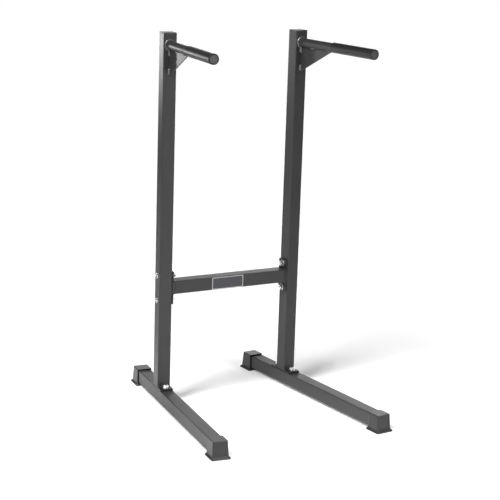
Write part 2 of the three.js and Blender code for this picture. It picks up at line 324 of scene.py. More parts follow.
    def hollow(self, axis: Vector, wall: float, slant: float = NEAR) -> Bench:
        """Opens the piece from end to end, leaving a wall.

        Args:
            axis: The way through.
            wall: The wall's thickness.
            slant: How far the ends may be from square to the axis, as 1 less the cosine.

        Returns:
            The bench.
        """
        with self.editing(Pick.FACE, lambda _, normal: abs(normal.dot(axis)) > 1 - slant):
            bpy.ops.mesh.inset(thickness=wall, use_even_offset=True)
            bpy.ops.mesh.bridge_edge_loops()
        return self.cleaned()

    def bisect(self, point: Sequence[float], normal: Sequence[float]) -> Bench:
        """Cuts away all that lies beyond a plane, and closes the cut.

        Args:
            point: A point of the plane.
            normal: The way to the side that goes.

        Returns:
            The bench.
        """
        with self.editing(Pick.FACE):
            bpy.ops.mesh.bisect(plane_co=point, plane_no=normal, use_fill=True, clear_outer=True)
        return self

    def scored(self, point: Sequence[float], normal: Sequence[float]) -> Bench:
        """Adds a ring of edges where a plane cuts the piece.

        Args:
            point: A point of the plane.
            normal: Its normal.

        Returns:
            The bench.
        """
        with self.editing(Pick.FACE):
            bpy.ops.mesh.bisect(plane_co=point, plane_no=normal)
        return self

    def cleaned(self) -> Bench:
        """Merges doubled corners and turns every face outwards.

        Returns:
            The bench.
        """
        with self.editing(Pick.FACE):
            bpy.ops.mesh.remove_doubles(threshold=MERGE)
            bpy.ops.mesh.normals_make_consistent(inside=False)
        return self

    def modified(self, kind: str, **settings: Any) -> Bench:
        """Adds a modifier and applies it.

        Args:
            kind: The modifier's type.
            **settings: Its settings.

        Returns:
            The bench.
        """
        modifier = self.object.modifiers.new(kind, kind)
        for name, value in settings.items():
            setattr(modifier, name, value)
        self.alone()
        bpy.ops.object.modifier_apply(modifier=modifier.name)
        return self

    def combined(self, tool: Bench, operation: str = "DIFFERENCE") -> Bench:
        """Cuts, joins or keeps the common part with another bench, whose mesh is used up.

        Args:
            tool: The other mesh.
            operation: Boolean operation.

        Returns:
            The bench.
        """
        self.modified("BOOLEAN", object=tool.object, operation=operation, solver="EXACT")
        tool.scrap()
        return self

    def drilled(self, centre: Sequence[float], axis: Vector, radius: float, depth: float) -> Bench:
        """Drills a round hole.

        Args:
            centre: The middle of the drill's path.
            axis: The way that it goes.
            radius: The hole's radius.
            depth: The length of the drill's path.

        Returns:
            The bench.
        """
        reach = axis * depth / 2
        drill = Bench.bar("drill", radius, Vector(centre) - reach, Vector(centre) + reach, ROUND_SIDES)
        return self.combined(drill)

    def moved(self, place: Matrix) -> Bench:
        """Moves the mesh.

        Args:
            place: Where it goes, from where it is.

        Returns:
            The bench.
        """
        self.object.matrix_world = place
        self.settle()
        return self

    def copied(self, name: str, place: Matrix | None = None) -> Bench:
        """Copies the piece with a mesh of its own.

        Args:
            name: The copy's name.
            place: Where the copy goes, from where the piece is.

        Returns:
            The bench that holds the copy.
        """
        self.alone()
        bpy.ops.object.duplicate(linked=False)
        copy = Bench(name)
        return copy if place is None else copy.moved(place)

    def joined(self, others: Sequence[Bench]) -> Bench:
        """Takes other meshes into this one as separate shells.

        Args:
            others: The benches that hold them, which are used up.

        Returns:
            The bench.
        """
        self.alone()
        for bench in others:
            bench.object.select_set(True)
        bpy.ops.object.join()
        return self

    def eased(self, width: float, sharp: float = SHARP_ANGLE) -> Bench:
        """Takes the sharpness off every edge that turns by more than an angle, and returns the bench."""
        return self.modified("BEVEL", width=width, segments=2, limit_method="ANGLE", angle_limit=sharp)

    def smoothed(self) -> Bench:
        """Shades curves smooth and flats flat.

        Returns:
            The bench.
        """
        self.alone()
        bpy.ops.object.shade_smooth_by_angle(angle=SMOOTH_ANGLE)
        return self.modified("WEIGHTED_NORMAL", keep_sharp=True)

    def fitted(self, finish: Finish, *nodes: str) -> Bench:
        """Smooths and dresses the piece, and sets it on the frame.

        Args:
            finish: Its finish.
            *nodes: The CAD nodes that it stands for.

        Returns:
            The bench.
        """
        self.smoothed()
        self.object.data.materials.clear()
        self.object.data.materials.append(mixed(finish))
        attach(self.object, "root")
        if nodes:
            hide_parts(*nodes)
        return self

    def recoloured(self, test: Test, finish: Finish) -> Bench:
        """Gives some faces another finish.

        Args:
            test: Picks the faces.
            finish: Their finish.

        Returns:
            The bench.
        """
        self.object.data.materials.append(mixed(finish))
        with self.editing(Pick.FACE, test):
            self.object.active_material_index = len(self.object.data.materials) - 1
            bpy.ops.object.material_slot_assign()
        return self

    def scrap(self) -> None:
        """Removes the mesh and its object."""
        mesh = self.object.data
        bpy.data.objects.remove(self.object)
        bpy.data.meshes.remove(mesh)


class Wire:
    """A shader socket. Arithmetic on it adds Math nodes."""

    def __init__(self, recipe: Recipe, socket: bpy.types.NodeSocket) -> None:
        """Wraps a socket of a recipe."""
        self.recipe, self.socket = recipe, socket

    def __add__(self, other: Wire | float) -> Wire:
        """Sum."""
        return self.recipe.math("ADD", self, other)

    def __radd__(self, other: float) -> Wire:
        """Sum, with the wire second."""
        return self.recipe.math("ADD", other, self)

    def __sub__(self, other: Wire | float) -> Wire:
        """Difference."""
        return self.recipe.math("SUBTRACT", self, other)

    def __rsub__(self, other: float) -> Wire:
        """Difference, with the wire second."""
        return self.recipe.math("SUBTRACT", other, self)

    def __mul__(self, other: Wire | float) -> Wire:
        """Product."""
        return self.recipe.math("MULTIPLY", self, other)

    def __rmul__(self, other: float) -> Wire:
        """Product, with the wire second."""
        return self.recipe.math("MULTIPLY", other, self)

    def between(self, low: float, high: float) -> Wire:
        """How far the value has got from low to high, from 0 to 1."""
        sockets = {"Value": self, "From Min": low, "From Max": high}
        return Wire(self.recipe, self.recipe.node("ShaderNodeMapRange", {"clamp": True}, sockets).outputs["Result"])


@dataclass(frozen=True)
class Pattern:
    """Noise over a surface, about 0.5 on average, and how far it moves the surface's roughness."""

    size: float
    detail: float = 2.0
    sheen: float = 0.0
    stretch: Triple | None = None
    fine_share: float = 0.55


class Recipe:
    """The nodes of a material or of the studio's walls, written as expressions."""

    def __init__(self, owner: bpy.types.Material | bpy.types.World, shader: str, place: str) -> None:
        """Takes the owner's node tree.

        Args:
            owner: A new material or world.
            shader: The name of its shader node.
            place: The coordinates that its patterns are read at.
        """
        owner.use_nodes = True
        self.owner, self.tree = owner, owner.node_tree
        self.shader = self.tree.nodes[shader]
        self.place = Wire(self, self.node("ShaderNodeTexCoord").outputs[place])

    @classmethod
    def of_material(cls, name: str) -> Recipe:
        """Starts a material."""
        return cls(bpy.data.materials.new(name), "Principled BSDF", "Object")

    def feed(self, socket: bpy.types.NodeSocket, value: Any) -> None:
        """Links a wire to a socket, or sets the socket's value.

        Args:
            socket: The socket.
            value: A wire, or what the socket is set to.
        """
        if isinstance(value, Wire):
            self.tree.links.new(value.socket, socket)
        else:
            socket.default_value = value

    def node(self, kind: str, settings: dict[str, Any] | None = None,
             sockets: dict[str | int, Any] | None = None) -> bpy.types.ShaderNode:
        """Adds a node.

        Args:
            kind: The node's type.
            settings: Its own settings, which are set first.
            sockets: Values or wires for its sockets, by name or number.

        Returns:
            The node.
        """
        node = self.tree.nodes.new(kind)
        for name, value in (settings or {}).items():
            setattr(node, name, value)
        for name, value in (sockets or {}).items():
            self.feed(node.inputs[name], value)
        return node

    def math(self, operation: str, first: Wire | float, second: Wire | float = 0.0) -> Wire:
        """Adds a Math node."""
        node = self.node("ShaderNodeMath", {"operation": operation}, {0: first, 1: second})
        return Wire(self, node.outputs[0])

    def dot(self, way: Sequence[float]) -> Wire:
        """How far the place lies along a way."""
        node = self.node("ShaderNodeVectorMath", {"operation": "DOT_PRODUCT"}, {0: self.place, 1: way})
        return Wire(self, node.outputs["Value"])

    def stretched(self, scale: Triple) -> Wire:
        """Object coordinates, stretched."""
        node = self.node("ShaderNodeMapping", None, {"Vector": self.place, "Scale": scale})
        return Wire(self, node.outputs[0])

    def noise(self, pattern: Pattern) -> Wire:
        """Adds a pattern.

        Args:
            pattern: What it looks like.

        Returns:
            Its value.
        """
        place = self.stretched(pattern.stretch) if pattern.stretch else self.place
        node = self.node("ShaderNodeTexNoise", None, {
            "Vector": place, "Scale": 1 / pattern.size, "Detail": pattern.detail, "Roughness": pattern.fine_share})
        return Wire(self, node.outputs[0])

    def height(self) -> Wire:
        """Height above the floor."""
        return Wire(self, self.node("ShaderNodeSeparateXYZ", None, {0: self.place}).outputs["Z"])

    def blend(self, mask: Wire, first: Triple | Wire, second: Triple | Wire) -> Wire:
        """Mixes two colours.

        Args:
            mask: 0 for the first and 1 for the second.
            first: A colour.
            second: A colour.

        Returns:
            The mixed colour.
        """
        colours = [(*c, 1) if isinstance(c, tuple) else c for c in (first, second)]
        node = self.node("ShaderNodeMix", {"data_type": "RGBA"}, {0: mask, 6: colours[0], 7: colours[1]})
        return Wire(self, node.outputs[2])

    def bump(self, relief: Wire, depth: float) -> Wire:
        """The normal of a relief from 0 to 1, whose whole range is as high as the depth."""
        node = self.node("ShaderNodeBump", None, {"Strength": 1.0, "Distance": depth, "Height": relief})
        return Wire(self, node.outputs["Normal"])

    def dressed(self, sockets: dict[str, Any]) -> bpy.types.Material | bpy.types.World:
        """Feeds the shader.

        Args:
            sockets: Values or wires for its sockets.

        Returns:
            The finished material or world.
        """
        for name, value in sockets.items():
            self.feed(self.shader.inputs[name], value)
        return self.owner


def shaded(colour: Triple, share: float) -> Triple:
    """A colour made darker or lighter by a share."""
    return (colour[0] * share, colour[1] * share, colour[2] * share)


@dataclass(frozen=True)
class Finish:
    """What a surface is made of.

    Its tones are the darkest and the lightest share of its colour, which it takes at the two ends of the band of a
    pattern's values.
    """

    name: str
    slot: Slot | None
    colour: Triple
    roughness: float = 0.5
    tones: tuple[float, float] = (0.95, 1.05)
    band: tuple[float, float] = (0.3, 0.7)

    def material(self) -> bpy.types.Material:
        """Mixes the material, in the subclasses."""
        raise NotImplementedError

    def mottled(self, recipe: Recipe, pattern: Wire) -> Wire:
        """The colour, mottled by the value of a pattern."""
        dark, light = (shaded(self.colour, tone) for tone in self.tones)
        return recipe.blend(pattern.between(*self.band), dark, light)


@cache
def mixed(finish: Finish) -> bpy.types.Material:
    """The one material of a finish."""
    return finish.material()


@dataclass(frozen=True)
class PowderCoat(Finish):
    """Charcoal powder coat: satin, with a fine pebbled skin and a faint fleck."""

    name: str = "charcoal_powder_coat"
    slot: Slot | None = Slot.PAINT
    colour: Triple = (0.029, 0.028, 0.028)
    tones: tuple[float, float] = (0.93, 1.07)
    cloud: Pattern = Pattern(mm(110), 3, sheen=0.08)
    pebble: Pattern = Pattern(mm(1.1), sheen=0.12)
    pebble_depth: float = mm(0.016)
    fleck: Pattern = Pattern(mm(0.35), 0)
    fleck_band: tuple[float, float] = (0.62, 0.8)
    fleck_tone: float = 1.9
    gloss: float = 0.5

    def material(self) -> bpy.types.Material:
        """Mixes the material.

        Returns:
            The material.
        """
        recipe = Recipe.of_material(self.name)
        cloudy, pebbles, flecks = (recipe.noise(pattern) for pattern in (self.cloud, self.pebble, self.fleck))
        flecked = flecks.between(*self.fleck_band)
        return recipe.dressed({
            "Base Color": recipe.blend(flecked, self.mottled(recipe, cloudy), shaded(self.colour, self.fleck_tone)),
            "Roughness": self.roughness + self.pebble.sheen * (pebbles - 0.5) + self.cloud.sheen * (cloudy - 0.5),
            "Normal": recipe.bump(pebbles, self.pebble_depth), "Specular IOR Level": self.gloss})


@dataclass(frozen=True)
class BootRubber(Finish):
    """Moulded rubber, matt and fine-grained, a little dusty where it meets the floor."""

    name: str = "moulded_boot_rubber"
    slot: Slot | None = Slot.BOOT
    colour: Triple = (0.019, 0.019, 0.0195)
    roughness: float = 0.42
    tones: tuple[float, float] = (0.94, 1.06)
    cloud: Pattern = Pattern(mm(28), 4)
    grain: Pattern = Pattern(mm(0.7), sheen=0.2)
    grain_depth: float = mm(0.03)
    dust: Triple = (0.13, 0.128, 0.125)
    dust_height: float = mm(9)
    dust_band: tuple[float, float] = (0.42, 0.7)
    dust_share: float = 0.35
    gloss: float = 0.5

    def material(self) -> bpy.types.Material:
        """Mixes the material.

        Returns:
            The material.
        """
        recipe = Recipe.of_material(self.name)
        grain, cloudy = recipe.noise(self.grain), recipe.noise(self.cloud)
        low_down = 1 - recipe.height().between(0, self.dust_height)
        dusty = low_down * cloudy.between(*self.dust_band) * self.dust_share
        return recipe.dressed({
            "Base Color": recipe.blend(dusty, self.mottled(recipe, cloudy), self.dust),
            "Roughness": self.roughness + self.grain.sheen * (grain - 0.5),
            "Normal": recipe.bump(grain, self.grain_depth), "Specular IOR Level": self.gloss})


@dataclass(frozen=True)
class GripRubber(Finish):
    """A drawn rubber sleeve: smooth, with faint drawing lines along it and a low sheen."""

    name: str = "grip_rubber"
    slot: Slot | None = Slot.GRIP
    colour: Triple = (0.016, 0.0155, 0.0155)
    roughness: float = 0.46
    tones: tuple[float, float] = (0.92, 1.08)
    cloud: Pattern = Pattern(mm(35), 3, sheen=0.14)
    line: Pattern = Pattern(mm(1.6), sheen=0.08, stretch=(1, 0.03, 1))
    line_depth: float = mm(0.003)
    gloss: float = 0.5

    def material(self) -> bpy.types.Material:
        """Mixes the material.

        Returns:
            The material.
        """
        recipe = Recipe.of_material(self.name)
        cloudy, lines = recipe.noise(self.cloud), recipe.noise(self.line)
        return recipe.dressed({
            "Base Color": self.mottled(recipe, cloudy),
            "Roughness": self.roughness + self.cloud.sheen * (cloudy - 0.5) + self.line.sheen * (lines - 0.5),
            "Normal": recipe.bump(lines, self.line_depth), "Specular IOR Level": self.gloss})


@dataclass(frozen=True)
class MouldedPlastic(Finish):
    """Moulded plastic with a fine spark-eroded grain."""

    roughness: float = 0.48
    cloud: Pattern = Pattern(mm(20))
    grain: Pattern = Pattern(mm(0.5), 1, sheen=0.16)
    grain_depth: float = mm(0.02)

    def material(self) -> bpy.types.Material:
        """Mixes the material.

        Returns:
            The material.
        """
        recipe = Recipe.of_material(self.name)
        grain, cloudy = recipe.noise(self.grain), recipe.noise(self.cloud)
        return recipe.dressed({
            "Base Color": self.mottled(recipe, cloudy),
            "Roughness": self.roughness + self.grain.sheen * (grain - 0.5),
            "Normal": recipe.bump(grain, self.grain_depth)})


@dataclass(frozen=True)
class ZincPlate(Finish):
    """Bright zinc plating, faintly clouded and finely scratched."""

    name: str = "bright_zinc"
    slot: Slot | None = Slot.ZINC
    colour: Triple = (0.9, 0.91, 0.93)
    roughness: float = 0.25
    tones: tuple[float, float] = (0.88, 1.1)
    band: tuple[float, float] = (0.35, 0.65)
    cloud: Pattern = Pattern(mm(5), 3, sheen=0.22)
    scratch: Pattern = Pattern(mm(0.6), sheen=0.12, stretch=(1, 1, 0.1))
    scratch_depth: float = mm(0.012)

    def material(self) -> bpy.types.Material:
        """Mixes the material.

        Returns:
            The material.
        """
        recipe = Recipe.of_material(self.name)
        cloudy, scratches = recipe.noise(self.cloud), recipe.noise(self.scratch)
        return recipe.dressed({
            "Base Color": self.mottled(recipe, cloudy), "Metallic": 1.0,
            "Roughness": self.roughness + self.cloud.sheen * (cloudy - 0.5) + self.scratch.sheen * (scratches - 0.5),
            "Normal": recipe.bump(scratches, self.scratch_depth)})


@dataclass(frozen=True)
class BrightBorder(Finish):
    """The nameplate's brushed silver border."""

    name: str = "nameplate_border"
    slot: Slot | None = Slot.NAMEPLATE
    colour: Triple = (0.6, 0.6, 0.61)
    roughness: float = 0.36
    tones: tuple[float, float] = (0.9, 1.08)
    brush: Pattern = Pattern(mm(0.5), sheen=0.2, stretch=(0.04, 1, 1))
    brush_depth: float = mm(0.008)

    def material(self) -> bpy.types.Material:
        """Mixes the material.

        Returns:
            The material.
        """
        recipe = Recipe.of_material(self.name)
        brushed = recipe.noise(self.brush)
        return recipe.dressed({
            "Base Color": self.mottled(recipe, brushed), "Metallic": 1.0,
            "Roughness": self.roughness + self.brush.sheen * (brushed - 0.5),
            "Normal": recipe.bump(brushed, self.brush_depth)})


@dataclass(frozen=True)
class DarkPanel(Finish):
    """The nameplate's plain slate panel, satin over a faint brushed grain."""

    name: str = "nameplate_panel"
    slot: Slot | None = Slot.NAMEPLATE
    colour: Triple = (0.062, 0.063, 0.07)
    roughness: float = 0.34
    tones: tuple[float, float] = (0.9, 1.1)
    metal: float = 0.35
    cloud: Pattern = Pattern(mm(30), sheen=0.1)
    brush: Pattern = Pattern(mm(0.6), stretch=(0.03, 1, 1))
    brush_depth: float = mm(0.006)

    def material(self) -> bpy.types.Material:
        """Mixes the material.

        Returns:
            The material.
        """
        recipe = Recipe.of_material(self.name)
        cloudy, brushed = recipe.noise(self.cloud), recipe.noise(self.brush)
        return recipe.dressed({
            "Base Color": self.mottled(recipe, brushed), "Metallic": self.metal,
            "Roughness": self.roughness + self.cloud.sheen * (cloudy - 0.5),
            "Normal": recipe.bump(brushed, self.brush_depth)})


@dataclass(frozen=True)
class PaleFloor(Finish):
    """The studio's white floor: a matt sheet, lit a little from below so that shadows on it stay light."""

    name: str = "pale_floor"
    slot: Slot | None = None
    colour: Triple = (0.93, 0.93, 0.93)
    roughness: float = 0.9
    tones: tuple[float, float] = (0.99, 1.01)
    band: tuple[float, float] = (0, 1)
    cloud: Pattern = Pattern(mm(900))
    under_light: float = 0.2

    def material(self) -> bpy.types.Material:
        """Mixes the material.

        Returns:
            The material.
        """
        recipe = Recipe.of_material(self.name)
        return recipe.dressed({
            "Base Color": self.mottled(recipe, recipe.noise(self.cloud)), "Roughness": self.roughness,
            "Specular IOR Level": 0.0, "Emission Color": (1, 1, 1, 1), "Emission Strength": self.under_light})


@dataclass(frozen=True)
class Stance:
    """Where the side frames stand and how high the parts lie."""

    spacing: float = mm(536)
    toe_out: float = math.radians(5.9)
    leg_front: float = mm(615.5)
    leg_rear: float = mm(252)
    tube_lift: float = mm(11.5)
    upright_top: float = mm(1387)
    crossbar_height: float = mm(448.5)
    crossbar_bolts: float = mm(47.5)
    handle_below_top: float = mm(40)
    seat_gap: float = mm(0.3)

    @property
    def setback(self) -> float:
        """How far the uprights stand behind the middle of the stand."""
        return (self.leg_front - self.leg_rear) / 2 * math.cos(self.toe_out)

    @property
    def handle_height(self) -> float:
        """Height of the handles' axes."""
        return self.upright_top - self.handle_below_top

    def place(self, side: Side) -> Matrix:
        """From a side frame's own axes to the stand's."""
        at = Vector((side.value * self.spacing / 2, self.setback, 0))
        return Matrix.Translation(at) @ Matrix.Rotation(side.value * self.toe_out, 4, "Z")


@dataclass(frozen=True)
class TubeStock:
    """The square steel tube that the stand is cut from."""

    side: float = mm(50)
    wall: float = mm(2.5)
    corner: float = mm(3.2)
    corner_steps: int = 6
    edge: float = mm(0.35)

    @property
    def half(self) -> float:
        """Half the tube's side."""
        return self.side / 2

    def length(self, name: str, axis: Vector, centre: Sequence[float], start: float, end: float) -> Bench:
        """Cuts a length of tube.

        Args:
            name: The piece's name.
            axis: The way that it runs.
            centre: A point of its middle line.
            start: Where it starts, measured from that point along the axis.
            end: Where it ends.

        Returns:
            The bench that holds it.
        """
        spread = (Vector((1, 1, 1)) - axis) * self.half
        low = Vector(centre) + axis * start - spread
        high = Vector(centre) + axis * end + spread
        bench = Bench.block(name, low, high).bevel(along(axis), self.corner, self.corner_steps)
        return bench.hollow(axis, self.wall)


@dataclass(frozen=True)
class FlatStock:
    """Flat steel bar with its corners eased, for plates, and the plates' finish."""

    thickness: float
    finish: Finish
    corner: float = mm(3)
    corner_steps: int = 4
    edge: float = mm(0.5)
    edge_steps: int = 2
    hole_edge: float = mm(0.6)

    def plate(self, name: str, thin: Vector, low: Sequence[float], high: Sequence[float]) -> Bench:
        """A plate from its lowest to its highest corner, thin along an axis."""
        bench = Bench.block(name, low, high).bevel(along(thin), self.corner, self.corner_steps)
        return bench.bevel(across(thin), self.edge, self.edge_steps)


@dataclass(frozen=True)
class WeldBead:
    """A weld laid in overlapping ripples, which are fused and softened."""

    width: float
    crown: float
    finish: Finish
    pitch: float = mm(1.7)
    ripple_share: float = 0.72
    ripple_fineness: int = 3
    lean: float = math.radians(24)
    fillet_tilt: float = math.radians(45)
    collar_tilt: float = math.radians(12)
    voxel: float = mm(0.5)
    soften: int = 2
    soften_factor: float = 0.5
    waver: float = mm(0.35)
    waver_size: float = mm(7)
    collar_offset: float = mm(2.3)

    def ripple(self, name: str) -> Bench:
        """One ripple, its thin way along X.

        Args:
            name: The piece's name.

        Returns:
            The bench that holds it.
        """
        radii = (self.width * self.ripple_share / 2, self.width / 2, self.crown)
        ripple = Bench.ball(name, radii, self.ripple_fineness)
        return ripple.moved(Matrix.Rotation(self.lean, 4, "Y"))

    def fused(self, bench: Bench) -> Bench:
        """Fuses a row of ripples into one skin with a slight waver.

        Args:
            bench: The ripples.

        Returns:
            The same bench.
        """
        bench.modified("REMESH", mode="VOXEL", voxel_size=self.voxel)
        bench.modified("SMOOTH", factor=self.soften_factor, iterations=self.soften)
        cloud = bpy.data.textures.new("weld_waver", "CLOUDS")
        cloud.noise_scale = self.waver_size
        bench.modified("DISPLACE", texture=cloud, strength=self.waver, texture_coords="LOCAL")
        bpy.data.textures.remove(cloud)
        return bench

    def straight(self, name: str, length: float) -> Bench:
        """A bead along X, centred on the origin.

        Args:
            name: The piece's name.
            length: Its length.

        Returns:
            The bench that holds it.
        """
        count = max(2, round((length - self.width * self.ripple_share) / self.pitch) + 1)
        bench = self.ripple(name)
        bench.modified("ARRAY", count=count, use_relative_offset=False, use_constant_offset=True,
                       constant_offset_displace=(self.pitch, 0, 0))
        bench.moved(Matrix.Translation((-(count - 1) * self.pitch / 2, 0, 0)))
        return self.fused(bench)

    def fillet(self, name: str, length: float) -> Bench:
        """A bead along X in the corner of a floor at z = 0 and a wall at y = 0, on the -Y side."""
        bench = self.straight(name, length).moved(Matrix.Rotation(self.fillet_tilt, 4, "X"))
        return bench.bisect((0, 0, 0), -Z_AXIS).bisect((0, 0, 0), Y_AXIS)

    def seam(self, name: str, length: float) -> Bench:
        """A low bead along X, flat at z = 0 and raised towards +Z."""
        return self.straight(name, length).bisect((0, 0, 0), -Z_AXIS)

    def collar(self, name: str, radius: float) -> Bench:
        """A bead round the Z axis, in the corner of a tube and a wall at z = 0.

        Args:
            name: The piece's name.
            radius: The tube's radius.

        Returns:
            The bench that holds it.
        """
        ring = radius + self.collar_offset
        count = round(FULL_TURN * ring / self.pitch)
        bench = self.ripple(name).moved(
            Matrix.Translation((0, -ring, 0)) @ Matrix.Rotation(self.collar_tilt, 4, "X"))
        pivot = bpy.data.objects.new("pivot", None)
        bpy.context.scene.collection.objects.link(pivot)
        pivot.rotation_euler = (0, 0, FULL_TURN / count)
        bpy.context.view_layer.update()
        bench.modified("ARRAY", count=count, use_relative_offset=False, use_object_offset=True, offset_object=pivot)
        bpy.data.objects.remove(pivot)
        return self.fused(bench).bisect((0, 0, 0), -Z_AXIS)


def cornered(at: Sequence[float], floor_way: Vector, wall_way: Vector) -> Matrix:
    """The place of a fillet in a corner, by its middle and the ways that its floor and its wall face."""
    turn = Matrix((-wall_way.cross(floor_way), -wall_way, floor_way)).transposed().to_4x4()
    return Matrix.Translation(at) @ turn


def laid(at: Sequence[float], facing_way: Vector, run: Vector) -> Matrix:
    """The place of a seam on a face, by its middle, the way that the face faces and the way that it runs."""
    turn = Matrix((run, facing_way.cross(run), facing_way)).transposed().to_4x4()
    return Matrix.Translation(at) @ turn


def paired(blank: Bench, stance: Stance, word: str, finish: Finish, *nodes: str) -> list[Bench]:
    """Sets a piece up in both side frames and scraps the blank.

    Args:
        blank: The piece about its upright's axis.
        stance: Where the side frames stand.
        word: The pieces' name, with the side's place in it.
        finish: Their finish.
        *nodes: What they stand for, named in the same way.

    Returns:
        The two pieces.
    """
    pieces = []
    for side in Side:
        piece = blank.copied(word.format(side=side.label), stance.place(side))
        pieces.append(piece.fitted(finish, *(node.format(side=side.label) for node in nodes)))
    blank.scrap()
    return pieces


@dataclass(frozen=True)
class BaseLegs:
    """The legs on the floor, and the plates under the uprights, which are welded to them."""

    stance: Stance
    stock: TubeStock
    plate_stock: FlatStock
    paint: Finish
    end_shade_paint: Finish
    weld: WeldBead
    # How far from each end of a leg the painted shade of the boots' mouths reaches, front and rear
    bare_front: float = mm(51.6)
    bare_rear: float = mm(56)
    bolt_offset: float = mm(46)
    hole_radius: float = BOLT_HOLE
    plate_length: float = mm(124)
    weld_length: float = mm(47)

    @property
    def plate_base(self) -> float:
        """Height of the foot plates' undersides."""
        return self.stance.tube_lift + self.stock.side + self.stance.seat_gap

    @property
    def upright_foot(self) -> float:
        """Height at which the uprights start."""
        return self.plate_base + self.plate_stock.thickness + self.stance.seat_gap

    def drilled(self, bench: Bench, height: float, depth: float) -> Bench:
        """Drills the two upright bolt holes.

        Args:
            bench: What is drilled.
            height: Height of the middle of the holes.
            depth: Length of the holes.

        Returns:
            The same bench.
        """
        for way in (-1, 1):
            bench.drilled((0, way * self.bolt_offset, height), Z_AXIS, self.hole_radius, depth)
        return bench

    def tube(self) -> Bench:
        """A base tube about its upright's axis.

        Returns:
            The bench that holds it.
        """
        height = self.stance.tube_lift + self.stock.half
        bench = self.stock.length("leg_blank", Y_AXIS, (0, 0, height), -self.stance.leg_front, self.stance.leg_rear)
        return self.drilled(bench, height, self.stock.side + OVERRUN).eased(self.stock.edge)

    def tubes(self) -> list[Bench]:
        """The two legs. Their ends inside the boots, and a band of about 4 mm outside the rear boots' mouths, are rough
        and painted near-black: painted shade of the gap at each boot's mouth.

        Returns:
            The finished pieces.
        """
        front, rear = self.bare_front - self.stance.leg_front, self.stance.leg_rear - self.bare_rear
        blank = self.tube()
        for level in (front, rear):
            blank.scored((0, level, 0), Y_AXIS)
        pieces = paired(blank, self.stance, "{side}_base_leg", self.paint, "base_tube_{side}")
        for side, piece in zip(Side, pieces):
            home = self.stance.place(side).inverted()
            # Painted shade: the legs' ends at the boots' mouths get the near-black finish
            piece.recoloured(lambda middle, _, to=home: not front < (to @ middle).y < rear, self.end_shade_paint)
        return pieces

    def plate(self) -> Bench:
        """A foot plate about its upright's axis.

        Returns:
            The bench that holds it.
        """
        plate, base = self.plate_stock, self.plate_base
        top, corner = base + plate.thickness, Vector((self.stock.half, self.plate_length / 2, 0))
        bench = plate.plate("plate_blank", Z_AXIS, Z_AXIS * base - corner, Z_AXIS * top + corner)
        return self.drilled(bench, (base + top) / 2, plate.thickness + OVERRUN).eased(plate.hole_edge)

    def welds(self) -> Bench:
        """The beads in front of an upright's foot and behind it.

        Returns:
            The bench that holds it.
        """
        front = self.weld.fillet("foot_weld_blank", self.weld_length)
        at = (0, -self.stock.half, self.plate_base + self.plate_stock.thickness)
        front.moved(Matrix.Translation(at))
        return front.joined([front.copied("foot_weld_rear", Matrix.Rotation(math.pi, 4, "Z"))])

    def build(self) -> list[Bench]:
        """Builds the legs, plates and welds.

        Returns:
            The finished pieces.
        """
        return [
            *self.tubes(),
            *paired(self.plate(), self.stance, "{side}_foot_flat", self.plate_stock.finish, "foot_plate_{side}"),
            *paired(self.welds(), self.stance, "{side}_foot_welds", self.weld.finish),
        ]


@dataclass(frozen=True)
class Uprights:
    """The uprights, drilled across for the crossbar's bolts, and the caps in their tops."""

    stance: Stance
    stock: TubeStock
    paint: Finish
    cap_plastic: Finish
    foot: float
    hole_radius: float = BOLT_HOLE
    cap_flange: float = mm(4)
    cap_rounding: float = mm(1.2)
    cap_steps: int = 4
    cap_crown: float = mm(0.35)
    cap_border: float = mm(1.6)
    stub_depth: float = mm(16)
    stub_wall: float = mm(2)
    stub_floor: float = mm(1)

    def tube(self) -> Bench:
        """An upright about its own axis.

        Returns:
            The bench that holds it.
        """
        bench = self.stock.length("upright_blank", Z_AXIS, (0, 0, 0), self.foot, self.stance.upright_top)
        for way in (-1, 1):
            at = (0, 0, self.stance.crossbar_height + way * self.stance.crossbar_bolts)
            bench.drilled(at, X_AXIS, self.hole_radius, self.stock.side + OVERRUN)
        return bench.eased(self.stock.edge)

    def cap(self) -> Bench:
        """A cap: a crowned flange on the tube's end, and a hollow stub in it.

        Returns:
            The bench that holds it.
        """
        half, base = self.stock.half, self.stance.upright_top + self.stance.seat_gap
        top = base + self.cap_flange - self.cap_crown
        bench = Bench.block("cap_blank", (-half, -half, base), (half, half, top))
        bench.bevel(along(Z_AXIS), self.stock.corner, self.stock.corner_steps)
        bench.bevel(at_level(Z_AXIS, top, across(Z_AXIS)), self.cap_rounding, self.cap_steps)
        bench.inset(at_level(Z_AXIS, top, facing(Z_AXIS)), self.cap_border, Z_AXIS * self.cap_crown)
        fit = self.stock.wall + self.stance.seat_gap
        bench.inset(at_level(Z_AXIS, base, facing(-Z_AXIS)), fit, -Z_AXIS * self.stub_depth)
        room, low, high = half - fit - self.stub_wall, base - 2 * self.stub_depth, base - self.stub_floor
        return bench.combined(Bench.block("cap_hollow", (-room, -room, low), (room, room, high)))

    def build(self) -> list[Bench]:
        """Builds the uprights and their caps.

        Returns:
            The finished pieces.
        """
        return [
            *paired(self.tube(), self.stance, "{side}_post", self.paint, "upright_{side}"),
            *paired(self.cap(), self.stance, "{side}_post_cap", self.cap_plastic, "top_cap_{side}"),
        ]


